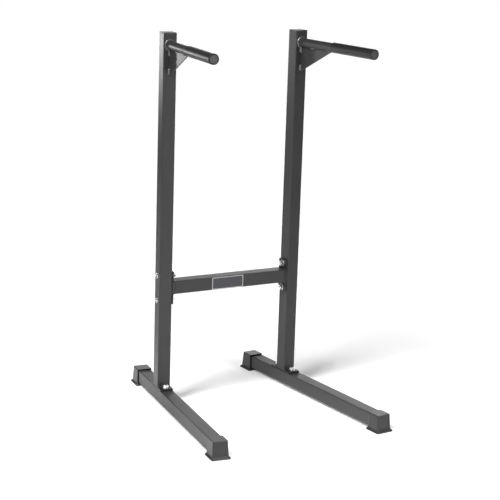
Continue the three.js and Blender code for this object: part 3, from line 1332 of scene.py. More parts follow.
@dataclass(frozen=True)
class Handles:
    """The round handles, welded to the uprights' front faces, with their grips and end plugs."""

    stance: Stance
    stock: TubeStock
    paint: Finish
    grip_rubber: Finish
    cut_rubber: Finish
    plug_plastic: Finish
    weld: WeldBead
    radius: float = mm(16)
    wall: float = mm(2.5)
    edge: float = mm(0.3)
    length: float = mm(434)
    rounding_steps: int = 5
    grip_radius: float = mm(19)
    grip_length: float = mm(236)
    grip_rounding: float = mm(1.2)
    plug_recess: float = mm(0.8)
    plug_flange: float = mm(2.5)
    plug_radius: float = mm(15.2)
    plug_rounding: float = mm(1.1)
    plug_rim: float = mm(1.6)
    plug_dish: float = mm(0.35)
    stub_length: float = mm(14)
    stub_wall: float = mm(2)
    stub_floor: float = mm(0.5)

    @property
    def forwards(self) -> Matrix:
        """Lays what stands on z = 0 forwards from the upright's face, about the handle's axis."""
        at = Matrix.Translation((0, -self.stock.half, self.stance.handle_height))
        return at @ Matrix.Rotation(math.pi / 2, 4, "X")

    def tube(self) -> Bench:
        """A handle's tube.

        Returns:
            The bench that holds it.
        """
        start, end = self.stance.seat_gap, self.length - self.plug_recess - self.plug_flange - self.stance.seat_gap
        bench = Bench.bar("handle_blank", self.radius, (0, 0, start), (0, 0, end), ROUND_SIDES)
        return bench.hollow(Z_AXIS, self.wall).eased(self.edge).moved(self.forwards)

    def root_weld(self) -> Bench:
        """The bead round a handle's root.

        Returns:
            The bench that holds it.
        """
        bench = self.weld.collar("root_weld_blank", self.radius)
        bore = Bench.bar("bore", self.radius - self.wall / 2, -Z_AXIS * OVERRUN, Z_AXIS * 2 * OVERRUN, ROUND_SIDES)
        return bench.combined(bore).moved(self.forwards)

    def grip(self) -> Bench:
        """A rubber sleeve, rounded at both ends.

        Returns:
            The bench that holds it.
        """
        start, end = self.length - self.grip_length, self.length
        bench = Bench.bar("grip_blank", self.grip_radius, (0, 0, start), (0, 0, end), ROUND_SIDES)
        for level in (start, end):
            bench.bevel(at_level(Z_AXIS, level), self.grip_rounding, self.rounding_steps)
        wall = self.grip_radius - self.grip_rounding - self.radius - self.stance.seat_gap
        return bench.hollow(Z_AXIS, wall).moved(self.forwards)

    def grips(self) -> list[Bench]:
        """The two sleeves. Their front end faces are rougher than their sides and painted near-black, as painted shade.

        Returns:
            The finished pieces.
        """
        pieces = paired(self.grip(), self.stance, "{side}_grip_sleeve", self.grip_rubber, "grip_{side}")
        for side, piece in zip(Side, pieces):
            forwards = self.stance.place(side).to_3x3() @ -Y_AXIS
            # Painted shade: the sleeves' front end faces get the near-black finish
            piece.recoloured(facing(forwards), self.cut_rubber)
        return pieces

    def plug(self) -> Bench:
        """A plug: a dished disc with a rim, and a hollow stub in the tube.

        Returns:
            The bench that holds it.
        """
        face = self.length - self.plug_recess
        shoulder = face - self.plug_flange
        bench = Bench.bar("plug_blank", self.plug_radius, (0, 0, shoulder), (0, 0, face), ROUND_SIDES)
        bench.bevel(at_level(Z_AXIS, face), self.plug_rounding, self.rounding_steps)
        bench.inset(at_level(Z_AXIS, face, facing(Z_AXIS)), self.plug_rim, -Z_AXIS * self.plug_dish)
        fit = self.plug_radius - self.radius + self.wall + self.stance.seat_gap
        bench.inset(at_level(Z_AXIS, shoulder, facing(-Z_AXIS)), fit, -Z_AXIS * self.stub_length)
        foot = at_level(Z_AXIS, shoulder - self.stub_length, facing(-Z_AXIS))
        bench.inset(foot, self.stub_wall, Z_AXIS * (self.stub_length - self.stub_floor))
        return bench.moved(self.forwards)

    def build(self) -> list[Bench]:
        """Builds the handles, their welds, grips and plugs.

        Returns:
            The finished pieces.
        """
        return [
            *paired(self.tube(), self.stance, "{side}_handle", self.paint, "handle_tube_{side}"),
            *paired(self.root_weld(), self.stance, "{side}_handle_root_weld", self.weld.finish, "handle_weld_{side}"),
            *self.grips(),
            *paired(self.plug(), self.stance, "{side}_end_plug", self.plug_plastic, "grip_plug_{side}"),
        ]


@dataclass(frozen=True)
class Gussets:
    """The upright plates under the handles, with stitch welds at both of their edges."""

    stance: Stance
    stock: TubeStock
    handle_radius: float
    paint: Finish
    weld: WeldBead
    thickness: float = mm(5)
    reach: float = mm(186)
    drop: float = mm(107.5)
    toe: float = mm(3)
    tip: float = mm(1.2)
    edge: float = mm(0.6)
    toe_weld: float = mm(24)
    top_weld: float = mm(24)
    handle_weld: float = mm(26)
    handle_weld_rise: float = mm(0.9)
    handle_weld_places: tuple[float, ...] = (mm(70), mm(166))

    @property
    def top(self) -> float:
        """Height of the plate's top edge."""
        return self.stance.handle_height - self.handle_radius - self.stance.seat_gap

    @property
    def foot(self) -> float:
        """Height of the plate's toe."""
        return self.stance.handle_height - self.drop

    def plate(self) -> Bench:
        """A gusset: a block, cut along its slope.

        Returns:
            The bench that holds it.
        """
        face, half = -self.stock.half, self.thickness / 2
        tip = face - self.reach
        heel = face - self.stance.seat_gap
        bench = Bench.block("gusset_blank", (-half, tip, self.foot), (half, heel, self.top))
        start = Vector((0, heel - self.toe, self.foot))
        slope = Vector((0, tip, self.top - self.tip)) - start
        bench.bisect(start, Vector((0, -slope.z, slope.y)))
        return bench.cleaned().eased(self.edge)

    def welds(self) -> Bench:
        """The beads on both faces of the plate, along the upright and along the handle.

        Returns:
            The bench that holds it.
        """
        half, face = self.thickness / 2, -self.stock.half
        under_handle = self.top + self.handle_weld_rise
        stitches: list[Bench] = []
        runs = (
            (self.toe_weld, (face, self.foot + self.toe_weld / 2), -Y_AXIS),
            (self.top_weld, (face, self.top - self.top_weld / 2), -Y_AXIS),
            *((self.handle_weld, (face - place, under_handle), -Z_AXIS) for place in self.handle_weld_places),
        )
        for number, (length, (y, z), outward) in enumerate(runs):
            bead = self.weld.fillet(f"gusset_stitch_{number}", length)
            for way in (-1, 1):
                place = cornered((way * half, y, z), outward, way * X_AXIS)
                stitches.append(bead.copied(f"gusset_stitch_{number}_{way}", place))
            bead.scrap()
        return stitches[0].joined(stitches[1:])

    def build(self) -> list[Bench]:
        """Builds the gussets and their welds.

        Returns:
            The finished pieces.
        """
        return [
            *paired(self.plate(), self.stance, "{side}_gusset_plate", self.paint, "gusset_{side}"),
            *paired(self.welds(), self.stance, "{side}_gusset_stitches", self.weld.finish, "gusset_weld_{side}"),
        ]


@dataclass(frozen=True)
class Boots:
    """The moulded rubber boots on the ends of the base legs, with flared feet. Their inner walls are painted near-black
    as painted shade inside their mouths.
    """

    stance: Stance
    stock: TubeStock
    rubber: Finish
    mouth_rubber: Finish
    wall: float = mm(3.2)
    length: float = mm(55.5)
    corner: float = mm(5.5)
    corner_steps: int = 6
    top_rounding: float = mm(2.2)
    top_steps: int = 5
    edge: float = mm(0.5)
    sharp: float = math.radians(62)
    flare_side: float = mm(7.75)
    flare_end: float = mm(12.2)
    flare_mouth: float = mm(4.5)
    sole_border: float = mm(4.5)
    sole_recess: float = mm(1.6)
    panel_border: float = mm(4)
    panel_recess: float = mm(0.9)
    panel_heights: tuple[float, float] = (mm(9.5), mm(61))
    rebate: float = mm(2.8)
    rebate_depth: float = mm(26)
    first_level: float = mm(0.1)
    # Height as a share of the boot's, then the shares there of the flares: sides and closed end, mouth
    outline: tuple[Triple, ...] = (
        (0, 0.86, 0.75), (0.005, 0.93, 0.88), (0.014, 0.99, 0.98), (0.024, 1, 1), (0.064, 1, 1), (0.072, 0.985, 0.98),
        (0.078, 0.95, 0.92), (0.142, 0.46, 0.36), (0.152, 0.4, 0.25), (0.17, 0.365, 0.14), (0.21, 0.34, 0),
        (0.6, 0.15, 0), (0.94, 0, 0), (1, 0, 0))

    @property
    def height(self) -> float:
        """The boot's height."""
        return self.stance.tube_lift + self.stock.side + self.stance.seat_gap + self.wall

    def level(self, share: Triple) -> tuple[Vector, Vector]:
        """One level of the outline.

        Args:
            share: Its entry in the outline.

        Returns:
            The level's width, depth and 1, and its middle.
        """
        up, flare, mouth_flare = share
        gap = self.stance.seat_gap
        closed_end = gap + self.wall + flare * self.flare_end
        mouth = self.length - gap - self.wall + mouth_flare * self.flare_mouth
        width = 2 * (self.stock.half + gap + self.wall + flare * self.flare_side)
        return Vector((width, closed_end + mouth, 1)), Vector((0, (mouth - closed_end) / 2, up * self.height))

    def boot(self) -> Bench:
        """A boot round a tube that ends at y = 0 and runs towards +Y.

        Returns:
            The bench that holds it.
        """
        size, middle = self.level(self.outline[0])
        corner, start = Vector((size.x / 2, size.y / 2, 0)), Z_AXIS * self.first_level
        bench = Bench.block("boot_blank", middle - corner, middle + corner + start)
        middle = middle + start
        for share in self.outline[1:]:
            next_size, next_middle = self.level(share)
            top = at_level(Z_AXIS, middle.z, facing(Z_AXIS))
            scale = (next_size.x / size.x, next_size.y / size.y, 1)
            bench.grown(top, next_middle - middle, scale, next_middle)
            size, middle = next_size, next_middle
        bench.bevel(lambda _, way: abs(way.z) > NEAR, self.corner, self.corner_steps)
        bench.bevel(at_level(Z_AXIS, self.height, across(Z_AXIS)), self.top_rounding, self.top_steps)
        low, high = self.panel_heights
        bench.inset(lambda middle, normal: normal.y < -ALMOST and low < middle.z < high, self.panel_border,
                    Y_AXIS * self.panel_recess)
        bench.inset(at_level(Z_AXIS, 0, facing(-Z_AXIS)), self.sole_border, Z_AXIS * self.sole_recess)
        bench.combined(self.socket(0, self.stance.seat_gap))
        bench.combined(self.socket(self.rebate, self.rebate_depth - self.length))
        return bench.eased(self.edge, self.sharp)

    def socket(self, wider: float, depth: float) -> Bench:
        """The room for the tube's end, or the wider mouth of that room.

        Args:
            wider: How much wider it is than the tube's own room, on each side.
            depth: How far it reaches past the tube's end.

        Returns:
            The bench that holds it.
        """
        fit = self.stance.seat_gap + wider
        half, middle = self.stock.half + fit, self.stance.tube_lift + self.stock.half
        bench = Bench.block("socket", (-half, -depth, middle - half), (half, self.length + OVERRUN, middle + half))
        return bench.bevel(along(Y_AXIS), self.stock.corner + fit, self.corner_steps)

    def build(self) -> list[Bench]:
        """Builds the four boots.

        Returns:
            The finished pieces.
        """
        front = self.boot().moved(Matrix.Translation((0, -self.stance.leg_front, 0)))
        backwards = Matrix.Rotation(math.pi, 4, "Z")
        shift = Matrix.Translation((0, self.stance.leg_rear - self.stance.leg_front, 0))
        rear = front.copied("rear_boot_blank", shift @ backwards)
        pieces = [
            *paired(front, self.stance, "{side}_front_boot", self.rubber, "boot_front_{side}"),
            *paired(rear, self.stance, "{side}_rear_boot", self.rubber, "boot_rear_{side}"),
        ]
        for side, piece in zip((*Side, *Side), pieces):
            home = self.stance.place(side).inverted()
            # Painted shade: the boots' inner walls round the tube are made near-black
            piece.recoloured(lambda middle, _, to=home: self.in_socket(to @ middle), self.mouth_rubber)
        return pieces

    def in_socket(self, place: Vector) -> bool:
        """Whether a point is on the inner walls of a boot.

        Args:
            place: The point, about its upright's axis.

        Returns:
            Whether it is.
        """
        slack = self.stance.seat_gap + NEAR
        reach, middle = self.stock.half + self.rebate + slack, self.stance.tube_lift + self.stock.half
        inside = -self.stance.leg_front - slack < place.y < self.stance.leg_rear + slack
        return inside and abs(place.x) < reach and abs(place.z - middle) < reach


@dataclass(frozen=True)
class Fasteners:
    """The M12 bolts, washers and nuts. A stack is made along Z with the bolted parts under z = 0."""

    stance: Stance
    stock: TubeStock
    zinc: Finish
    foot_offset: float
    plate_thickness: float
    radius: float = mm(6)
    across_flats: float = mm(19)
    chamfer: float = mm(0.6)
    head_height: float = mm(7.5)
    head_border: float = mm(2.2)
    head_dish: float = mm(0.35)
    head_edge: float = mm(0.25)
    nut_height: float = mm(10)
    nut_slack: float = mm(0.1)
    nut_edge: float = mm(0.35)
    washer_radius: float = mm(12)
    washer_thickness: float = mm(2.5)
    washer_edge: float = mm(0.4)
    hole_radius: float = BOLT_HOLE
    bolt_end: float = mm(2)
    end_bevel: float = mm(1.9)
    thread_pitch: float = mm(1.75)
    thread_depth: float = mm(0.95)
    thread_slack: float = mm(0.02)
    thread_turns: int = 14
    thread_steps: int = 24
    taper_room: float = mm(1)
    # Corners of the thread's outline: whether at its crest, and the height as a share of the pitch
    tooth: tuple[tuple[bool, float], ...] = ((False, 0), (False, 0.12), (True, 0.5), (True, 0.62), (False, 1))

    @property
    def washer_stack(self) -> float:
        """Height of a washer with the gaps on both of its sides."""
        return self.washer_thickness + 2 * self.stance.seat_gap

    @property
    def grip(self) -> float:
        """Thickness of the bolted parts."""
        return self.stock.side + self.stance.seat_gap + self.plate_thickness

    def hexagon(self, name: str, height: float, both: bool) -> Bench:
        """A hexagonal blank from z = 0 up, its corners chamfered.

        Args:
            name: The piece's name.
            height: Its height.
            both: Whether the lower face is chamfered too.

        Returns:
            The bench that holds it.
        """
        corner = self.across_flats / 2 / math.cos(math.pi / 6)
        rim, wide = self.across_flats / 2 - self.chamfer, corner + self.chamfer
        rise = (wide - rim) * math.tan(math.pi / 6)
        start = rise if both else 0
        envelope = Bench.bar("envelope", wide, (0, 0, start), (0, 0, height - rise), ROUND_SIDES)
        share = rim / wide
        narrow = (share, share, 1)
        envelope.grown(at_level(Z_AXIS, height - rise, facing(Z_AXIS)), Z_AXIS * rise, narrow, Z_AXIS * height)
        if both:
            envelope.grown(at_level(Z_AXIS, start, facing(-Z_AXIS)), -Z_AXIS * rise, narrow, Vector((0, 0, 0)))
        blank = Bench.bar(name, corner, (0, 0, 0), (0, 0, height), 6)
        return blank.combined(envelope, "INTERSECT")

    def thread(self, low: float) -> Bench:
        """A threaded length from a height up, its end bevelled.

        Args:
            low: Height of its lower end.

        Returns:
            The bench that holds it.
        """
        root, tip, pitch = self.radius - self.thread_depth, self.radius - self.thread_slack, self.thread_pitch
        corners = [(tip if crest else root, up * pitch + low - pitch) for crest, up in self.tooth]
        bench = Bench.outline("thread", corners)
        bench.modified("SCREW", screw_offset=pitch, iterations=self.thread_turns, steps=self.thread_steps,
                       render_steps=self.thread_steps, use_merge_vertices=True, merge_threshold=MERGE,
                       use_smooth_shade=False)
        bench.cleaned().bisect((0, 0, low), -Z_AXIS).bisect((0, 0, self.thread_top(low)), Z_AXIS).cleaned()
        room, far = self.radius + self.taper_room, self.thread_top(low) + OVERRUN
        taper = Bench.bar("taper", room, (0, 0, low), (0, 0, far), ROUND_SIDES)
        taper.bevel(at_level(Z_AXIS, low), self.end_bevel, 1)
        return bench.combined(taper, "INTERSECT")

    def thread_top(self, low: float) -> float:
        """Height at which a thread from a height up ends."""
        return low + (self.thread_turns - 2) * self.thread_pitch

    def bolt(self) -> Bench:
        """A bolt, the underside of its head at the top of the washer stack.

        Returns:
            The bench that holds it.
        """
        length = self.grip + 2 * self.washer_stack + self.nut_height + self.bolt_end
        bench = self.hexagon("bolt_blank", self.head_height, False)
        face = at_level(Z_AXIS, self.head_height, facing(Z_AXIS))
        bench.inset(face, self.head_border, -Z_AXIS * self.head_dish)
        start, end = (0, 0, self.thread_top(-length)), (0, 0, self.head_height / 2)
        bench.combined(Bench.bar("shank", self.radius, start, end, ROUND_SIDES), "UNION").eased(self.head_edge)
        bench.joined([self.thread(-length)])
        return bench.moved(Matrix.Translation((0, 0, self.washer_stack)))

    def nut(self) -> Bench:
        """A nut under the far washer.

        Returns:
            The bench that holds it.
        """
        bench = self.hexagon("nut_blank", self.nut_height, True)
        middle, bore = (0, 0, self.nut_height / 2), self.radius + self.nut_slack
        bench.drilled(middle, Z_AXIS, bore, self.nut_height + OVERRUN).eased(self.nut_edge)
        return bench.moved(Matrix.Translation((0, 0, -self.grip - self.washer_stack - self.nut_height)))

    def washer(self) -> Bench:
        """The washer under the head.

        Returns:
            The bench that holds it.
        """
        low = self.stance.seat_gap
        high = low + self.washer_thickness
        bench = Bench.bar("washer_blank", self.washer_radius, (0, 0, low), (0, 0, high), ROUND_SIDES)
        return bench.hollow(Z_AXIS, self.washer_radius - self.hole_radius).eased(self.washer_edge)

    def stacks(self) -> Iterator[tuple[str, str, Callable[[Side], Matrix]]]:
        """Lists the four stacks of a side frame.

        Yields:
            A stack's words in the pieces' names and in the nodes', and what gives its place in that frame.
        """
        for place, way in (("front", -1), ("rear", 1)):
            at = Matrix.Translation((0, way * self.foot_offset, self.stance.tube_lift))
            upside_down = at @ Matrix.Rotation(math.pi, 4, "X")
            yield f"foot_{place}", f"foot_{{kind}}_{{side}}_{place}", lambda side, fixed=upside_down: fixed
        for place, way in (("lower", -1), ("upper", 1)):
            height = self.stance.crossbar_height + way * self.stance.crossbar_bolts
            yield (f"bar_{place}", f"crossbar_{{kind}}_{{side}}_{place}",
                   lambda side, level=height: self.sideways(side, level))

    def sideways(self, side: Side, height: float) -> Matrix:
        """Turns a stack so that its head is on the upright's outer face, at a height."""
        at = Matrix.Translation((side.value * self.stock.half, 0, height))
        return at @ Matrix.Rotation(side.value * math.pi / 2, 4, "Y")

    def build(self) -> list[Bench]:
        """Builds the eight stacks.

        Returns:
            The finished pieces.
        """
        washer = self.washer()
        below = Matrix.Translation((0, 0, -self.grip - self.washer_stack))
        blanks = {"bolt": self.bolt(), "head_washer": washer, "nut_washer": washer.copied("far_washer_blank", below),
                  "nut": self.nut()}
        pieces = []
        for word, node, place_in in self.stacks():
            for kind, blank in blanks.items():
                for side in Side:
                    place = self.stance.place(side) @ place_in(side)
                    piece = blank.copied(f"{side.label}_{word}_{kind}", place)
                    pieces.append(piece.fitted(self.zinc, node.format(kind=kind, side=side.label)))
        for blank in blanks.values():
            blank.scrap()
        return pieces


@dataclass(frozen=True)
class Crossbar:
    """The tube between the uprights, welded to two bolted end plates, with a plain nameplate on its front."""

    stance: Stance
    stock: TubeStock
    plate_stock: FlatStock
    paint: Finish
    bezel: Finish
    panel: Finish
    weld: WeldBead
    seam: WeldBead
    plate_height: float = mm(125)
    hole_radius: float = BOLT_HOLE
    edge: float = mm(0.3)
    end_slant: float = 0.1
    weld_length: float = mm(47)
    seam_length: float = mm(44)
    name_size: tuple[float, float] = (mm(131), mm(46))
    name_thickness: float = mm(0.8)
    name_corner: float = mm(3)
    name_corner_steps: int = 5
    name_edge: float = mm(0.2)
    name_edge_steps: int = 2
    name_offset: float = mm(12)
    name_border: float = mm(2.4)
    name_recess: float = mm(0.25)

    def end_plate(self) -> Bench:
        """An end plate on the +X face of its upright.

        Returns:
            The bench that holds it.
        """
        start = self.stock.half + self.stance.seat_gap
        half, middle = self.stock.half, self.stance.crossbar_height
        low, high = middle - self.plate_height / 2, middle + self.plate_height / 2
        end = start + self.plate_stock.thickness
        bench = self.plate_stock.plate("end_plate_blank", X_AXIS, (start, -half, low), (end, half, high))
        for way in (-1, 1):
            hole = (start, 0, middle + way * self.stance.crossbar_bolts)
            bench.drilled(hole, X_AXIS, self.hole_radius, 2 * OVERRUN)
        return bench.eased(self.plate_stock.hole_edge)

    def inwards(self, side: Side) -> Matrix:
        """Turns what is on an upright's +X face to its inner face, in the stand's axes."""
        turn = 0 if side is Side.LEFT else math.pi
        return self.stance.place(side) @ Matrix.Rotation(turn, 4, "Z")

    def bar(self) -> Bench:
        """The crossbar, its ends cut to lie against the turned end plates.

        Returns:
            The bench that holds it.
        """
        centre = (0, self.stance.setback, self.stance.crossbar_height)
        half, reach = self.stock.half, self.stance.spacing / 2
        spread = Vector((reach, half, half))
        bench = Bench.block("bar_tube", Vector(centre) - spread, Vector(centre) + spread)
        bench.bevel(along(X_AXIS), self.stock.corner, self.stock.corner_steps)
        plate_face = half + self.plate_stock.thickness + 2 * self.stance.seat_gap
        for side in Side:
            place = self.inwards(side)
            bench.bisect(place @ Vector((plate_face, 0, 0)), place.to_3x3() @ -X_AXIS)
        return bench.hollow(X_AXIS, self.stock.wall, self.end_slant).eased(self.edge)

    def welds(self) -> Bench:
        """The beads round the crossbar's left end, on its end plate, about the upright's axis.

        Returns:
            The bench that holds it.
        """
        half, middle = self.stock.half, self.stance.crossbar_height
        face = half + self.plate_stock.thickness + self.stance.seat_gap
        fillet = self.weld.fillet("bar_weld_blank", self.weld_length)
        seam = self.seam.seam("bar_seam_blank", self.seam_length)
        beads = [fillet.copied(f"bar_weld_{way}", cornered((face, 0, middle + way * half), X_AXIS, way * Z_AXIS))
                 for way in (-1, 1)]
        beads += [seam.copied(f"bar_seam_{way}", laid((face, way * half, middle), way * Y_AXIS, Z_AXIS))
                  for way in (-1, 1)]
        fillet.scrap()
        seam.scrap()
        return beads[0].joined(beads[1:])

    def nameplate(self) -> Bench:
        """A thin plate with a raised bright border round a plain dark panel.

        Returns:
            The finished piece.
        """
        (width, height), front = self.name_size, self.stance.setback - self.stock.half - self.name_thickness
        low = Vector((-self.name_offset - width / 2, front, self.stance.crossbar_height - height / 2))
        bench = Bench.block("plain_nameplate", low, low + Vector((width, self.name_thickness, height)))
        bench.bevel(along(Y_AXIS), self.name_corner, self.name_corner_steps)
        bench.bevel(at_level(Y_AXIS, low.y, across(Y_AXIS)), self.name_edge, self.name_edge_steps)
        bench.inset(at_level(Y_AXIS, low.y, facing(-Y_AXIS)), self.name_border, Y_AXIS * self.name_recess)
        bench.fitted(self.bezel, "nameplate")
        return bench.recoloured(at_level(Y_AXIS, low.y + self.name_recess, facing(-Y_AXIS)), self.panel)

    def build(self) -> list[Bench]:
        """Builds the crossbar, its end plates, welds and nameplate.

        Returns:
            The finished pieces.
        """
        plate, welds = self.end_plate(), self.welds()
        pieces = [self.bar().fitted(self.paint, "crossbar"), self.nameplate()]
        for side in Side:
            place = self.inwards(side)
            flat = plate.copied(f"{side.label}_bar_flat", place)
            pieces.append(flat.fitted(self.plate_stock.finish, f"end_plate_{side.label}"))
            pieces.append(welds.copied(f"{side.label}_bar_welds", place).fitted(self.weld.finish))
        plate.scrap()
        welds.scrap()
        return pieces


@dataclass(frozen=True)
class Lamp:
    """A light of the studio."""

    name: str

    def put_up(self, kind: str, strength: float) -> bpy.types.Object:
        """Adds a light at the origin.

        Args:
            kind: Its type.
            strength: Its power.

        Returns:
            Its object.
        """
        thing = bpy.data.objects.new(self.name, bpy.data.lights.new(self.name, kind))
        thing.data.energy = strength
        bpy.context.scene.collection.objects.link(thing)
        return thing


@dataclass(frozen=True)
class Sun(Lamp):
    """A distant soft light. Its azimuth and elevation, in degrees, are of where it shines from."""

    azimuth: float
    elevation: float
    strength: float
    spread: float

    def build(self) -> None:
        """Adds the light."""
        thing = self.put_up("SUN", self.strength)
        thing.data.angle = math.radians(self.spread)
        thing.rotation_euler = heading(self.azimuth, self.elevation).to_track_quat("Z", "Y").to_euler()


@dataclass(frozen=True)
class Glow:
    """A soft bright patch of the studio's walls: a lobe round an azimuth times a band of heights.

    The azimuth is in degrees from +Y towards +X, and the height is the sine of the elevation.
    """

    azimuth: float
    height: float
    strength: float
    focus: float
    spread: float

    def seen(self, recipe: Recipe) -> Wire:
        """The patch's brightness.

        Args:
            recipe: The nodes of the walls.

        Returns:
            Its value.
        """
        lobe = recipe.math("EXPONENT", self.focus * (recipe.dot(heading(self.azimuth)) - 1))
        off = (recipe.dot(Z_AXIS) - self.height) * (1 / self.spread)
        return self.strength * lobe * recipe.math("EXPONENT", -1 * off * off)


@dataclass(frozen=True)
class Beam(Lamp):
    """A lamp with a snoot, that brightens a round patch about the spot it is aimed at."""

    at: Triple
    aim: Triple
    radius: float
    strength: float
    size: float = 0.12

    def build(self) -> None:
        """Adds the lamp."""
        back, thing = Vector(self.at) - Vector(self.aim), self.put_up("SPOT", self.strength)
        thing.data.shadow_soft_size, thing.data.spot_blend = self.size, 1.0
        thing.data.spot_size = 2 * math.atan(self.radius / back.length)
        thing.location, thing.rotation_euler = self.at, back.to_track_quat("Z", "Y").to_euler()


@dataclass(frozen=True)
class Ball(Lamp):
    """A round diffuser lamp on a stand."""

    at: Triple
    radius: float
    strength: float

    def build(self) -> None:
        """Adds the lamp."""
        thing = self.put_up("POINT", self.strength)
        thing.data.shadow_soft_size, thing.location = self.radius, self.at


@dataclass(frozen=True)
class Studio:
    """A pale floor between pale walls, with a few lamps.

    The floor is a sheet that opens out along the camera's azimuth. Its two edges would meet at the setback behind the
    camera's foot, and its near end lies a shorter way behind that foot. So it fills the lower part of the view, and
    yet sends little light up at the faces turned to the camera. The walls look evenly pale, and give light only
    where a glow lies on them.
    """

    lamps: tuple[Sun | Beam | Ball, ...]
    glows: tuple[Glow, ...]
    floor: Finish
    camera_foot: tuple[float, float]
    azimuth: float
    opening: float = 10.8
    floor_reach: float = 90.0
    floor_depth: float = 0.05
    setback: float = 5.0
    near_end: float = 1.5
    backdrop: float = 0.8

    def build(self) -> None:
        """Builds the floor, the walls and the lamps."""
        self.lay_floor()
        self.light_walls()
        for lamp in self.lamps:
            lamp.build()
        settings = bpy.context.scene.view_settings
        settings.view_transform, settings.look = "Standard", "None"

    def lay_floor(self) -> None:
        """Cuts the floor to shape and lays it."""
        reach, ahead, camera_foot = self.floor_reach, heading(self.azimuth), Vector((*self.camera_foot, 0))
        bench = Bench.block("floor", (-reach, -reach, -self.floor_depth), (reach, reach, 0))
        for side in (-1, 1):
            outwards = heading(self.azimuth + side * self.opening).cross(Z_AXIS) * side
            bench.bisect(camera_foot - ahead * self.setback, outwards)
        bench.bisect(camera_foot - ahead * self.near_end, -ahead)
        bench.object.data.materials.append(mixed(self.floor))

    def light_walls(self) -> None:
        """Gives the walls their look for the camera and their glows for everything else."""
        recipe = Recipe(bpy.data.worlds.new("studio_walls"), "Background", "Generated")
        light: Wire | float = 0.0
        for glow in self.glows:
            light = glow.seen(recipe) + light
        looked_at = Wire(recipe, recipe.node("ShaderNodeLightPath").outputs["Is Camera Ray"])
        strength = looked_at * self.backdrop + (1 - looked_at) * light
        bpy.context.scene.world = recipe.dressed({"Color": (1, 1, 1, 1), "Strength": strength})


@dataclass(frozen=True)
class Viewpoint:
    """The camera, from a fit to the object's edges, its angles in degrees. Its picture is square."""

    position: Triple
    azimuth: float
    downwards: float
    roll: float
    focal_share: float
    sensor: float = 36.0
    farthest: float = 500.0

    def build(self) -> None:
        """Adds the camera and makes it the scene's."""
        camera = bpy.data.cameras.new("viewpoint")
        camera.sensor_width, camera.lens = self.sensor, self.sensor * self.focal_share
        camera.clip_end = self.farthest
        ahead, right = heading(self.azimuth, -self.downwards), heading(self.azimuth).cross(Z_AXIS)
        up, roll = right.cross(ahead), math.radians(self.roll)
        across_view = right * math.cos(roll) + up * math.sin(roll)
        up_view = up * math.cos(roll) - right * math.sin(roll)
        thing = bpy.data.objects.new("viewpoint", camera)
        bpy.context.scene.collection.objects.link(thing)
        turn = Matrix((across_view, up_view, -ahead)).transposed().to_4x4()
        thing.matrix_world = Matrix.Translation(self.position) @ turn
        bpy.context.scene.camera = thing


PAINT = PowderCoat()
# Painted shade: the foot and end plates are about half as light as the frame's paint, standing in for the shade on
# them; their roughness and gloss are real
SHADED_PLATE_COAT = PowderCoat("plate_powder_coat", colour=(0.013, 0.0125, 0.0125), roughness=0.45, gloss=0.35)
# Painted shade: near-black, rough coat on the legs' ends, standing in for the shadow in the gap at each boot's mouth
SHADED_TUBE_END_COAT = PowderCoat("bare_tube_end", colour=(0.006, 0.006, 0.006), roughness=0.8, gloss=0.1)
BEAD_PAINT = PowderCoat("bead_powder_coat", roughness=0.42, pebble_depth=mm(0.006))
# Painted highlight: the crossbar's seam beads are half again lighter than the frame's paint, a faint light line along
# the seams
SEAM_HIGHLIGHT_PAINT = PowderCoat("seam_bead_coat", colour=(0.045, 0.045, 0.045), roughness=0.36, pebble_depth=mm(0.006))
# Painted highlight: the handle and gusset welds are about four times lighter than the frame's paint, standing in for
# glints on their ripples; their gloss and low roughness are real
HIGHLIGHT_BEAD_COAT = PowderCoat("worn_bead_coat", colour=(0.11, 0.109, 0.109), roughness=0.24, pebble_depth=mm(0.006), gloss=1.0)
# Painted shade: near-black, rough rubber for the grips' front end faces
SHADED_GRIP_END = GripRubber("cut_grip_rubber", colour=(0.006, 0.006, 0.006), roughness=0.8, gloss=0.12)
# Painted shade: near-black rubber, its dust colour near-black too, for the boots' inner walls
SHADED_MOUTH_RUBBER = BootRubber(
    "boot_mouth_rubber", colour=(0.005, 0.005, 0.005), dust=(0.01, 0.01, 0.01), roughness=0.85, gloss=0.1)
CAP_PLASTIC = MouldedPlastic("cap_plastic", Slot.CAP, (0.055, 0.055, 0.057))
PLUG_PLASTIC = MouldedPlastic("plug_plastic", Slot.PLUG, (0.076, 0.076, 0.079))
FLAT = FlatStock(thickness=mm(6), finish=SHADED_PLATE_COAT)
FOOT_WELD = WeldBead(width=mm(9), crown=mm(2.6), finish=BEAD_PAINT)
HANDLE_WELD = WeldBead(width=mm(6.4), crown=mm(3.3), finish=HIGHLIGHT_BEAD_COAT, voxel=mm(0.45))
GUSSET_WELD = WeldBead(width=mm(14), crown=mm(4.4), finish=HIGHLIGHT_BEAD_COAT)
BAR_WELD = WeldBead(width=mm(8), crown=mm(2.4), finish=BEAD_PAINT)
BAR_SEAM = WeldBead(width=mm(6), crown=mm(1.3), finish=SEAM_HIGHLIGHT_PAINT)
GLOWS = (
    Glow(azimuth=36, height=0.12, strength=7.5, focus=14, spread=0.1),
    Glow(azimuth=50, height=0.14, strength=6.0, focus=14, spread=0.12),
    Glow(azimuth=163, height=-0.1, strength=0.5, focus=16, spread=0.13),
    Glow(azimuth=-118, height=-0.2, strength=3.3, focus=60, spread=0.16),
    Glow(azimuth=-47, height=-0.18, strength=3.0, focus=50, spread=0.13),
    Glow(azimuth=0, height=-0.35, strength=0.12, focus=0, spread=0.3),
)
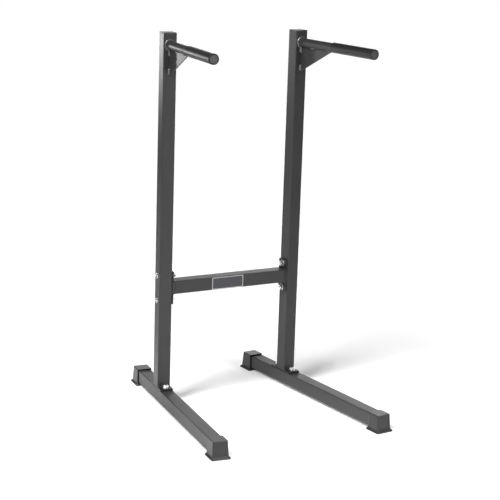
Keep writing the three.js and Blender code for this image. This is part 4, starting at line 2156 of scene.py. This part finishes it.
LAMPS = (
    Sun("left_light", azimuth=-112, elevation=50, strength=3.3, spread=20),
    Beam("near_light", at=(-1.2, 0.1, 6), aim=(-1.2, 0.1, 0), radius=0.9, strength=400),
    Beam("base_light", at=(-0.72, -0.2, 6), aim=(-0.72, -0.2, 0), radius=0.42, strength=2000),
    Beam("rear_base_light", at=(-0.64, 0.48, 6), aim=(-0.64, 0.48, 0), radius=0.46, strength=2600),
    Beam("kick_light", at=(-0.75, 2.9, 1.1), aim=(0.0, -0.05, 1.62), radius=0.78, strength=90),
    Ball("left_front_light", at=(-2.0, -1.5, 2.4), radius=0.4, strength=35),
    Ball("right_front_light", at=(1.1, -3.9, 2.8), radius=0.12, strength=235),
    Ball("front_light", at=(0.4, -2.2, 0.9), radius=0.2, strength=9),
    Beam("boot_light", at=(0.7, -2.2, 3.2), aim=(0, -0.42, 0), radius=0.62, strength=380),
)
VIEWPOINT = Viewpoint(position=(-2.57586, -4.71225, 1.91234), azimuth=28.61, downwards=13.65, roll=1.87,
                      focal_share=1505.51 / 500)


def main() -> None:
    """Builds the stand piece by piece, then the studio and the camera."""
    logging.basicConfig(level=logging.INFO, format="%(message)s")
    stance, stock = Stance(), TubeStock()
    legs = BaseLegs(stance, stock, FLAT, PAINT, SHADED_TUBE_END_COAT, FOOT_WELD)
    uprights = Uprights(stance, stock, PAINT, CAP_PLASTIC, legs.upright_foot)
    handles = Handles(stance, stock, PAINT, GripRubber(), SHADED_GRIP_END, PLUG_PLASTIC, HANDLE_WELD)
    gussets = Gussets(stance, stock, handles.radius, PAINT, GUSSET_WELD)
    boots = Boots(stance, stock, BootRubber(), SHADED_MOUTH_RUBBER)
    crossbar = Crossbar(stance, stock, FLAT, PAINT, BrightBorder(), DarkPanel(), BAR_WELD, BAR_SEAM)
    fasteners = Fasteners(stance, stock, ZincPlate(), legs.bolt_offset, FLAT.thickness)
    for assembly in (legs, uprights, handles, gussets, boots, crossbar, fasteners):
        for piece in assembly.build():
            log.info("%s: %s, %d faces", type(assembly).__name__, piece.object.name, len(piece.object.data.polygons))
    Studio(LAMPS, GLOWS, PaleFloor(), VIEWPOINT.position[:2], VIEWPOINT.azimuth).build()
    VIEWPOINT.build()


if __name__ == "__main__":
    main()
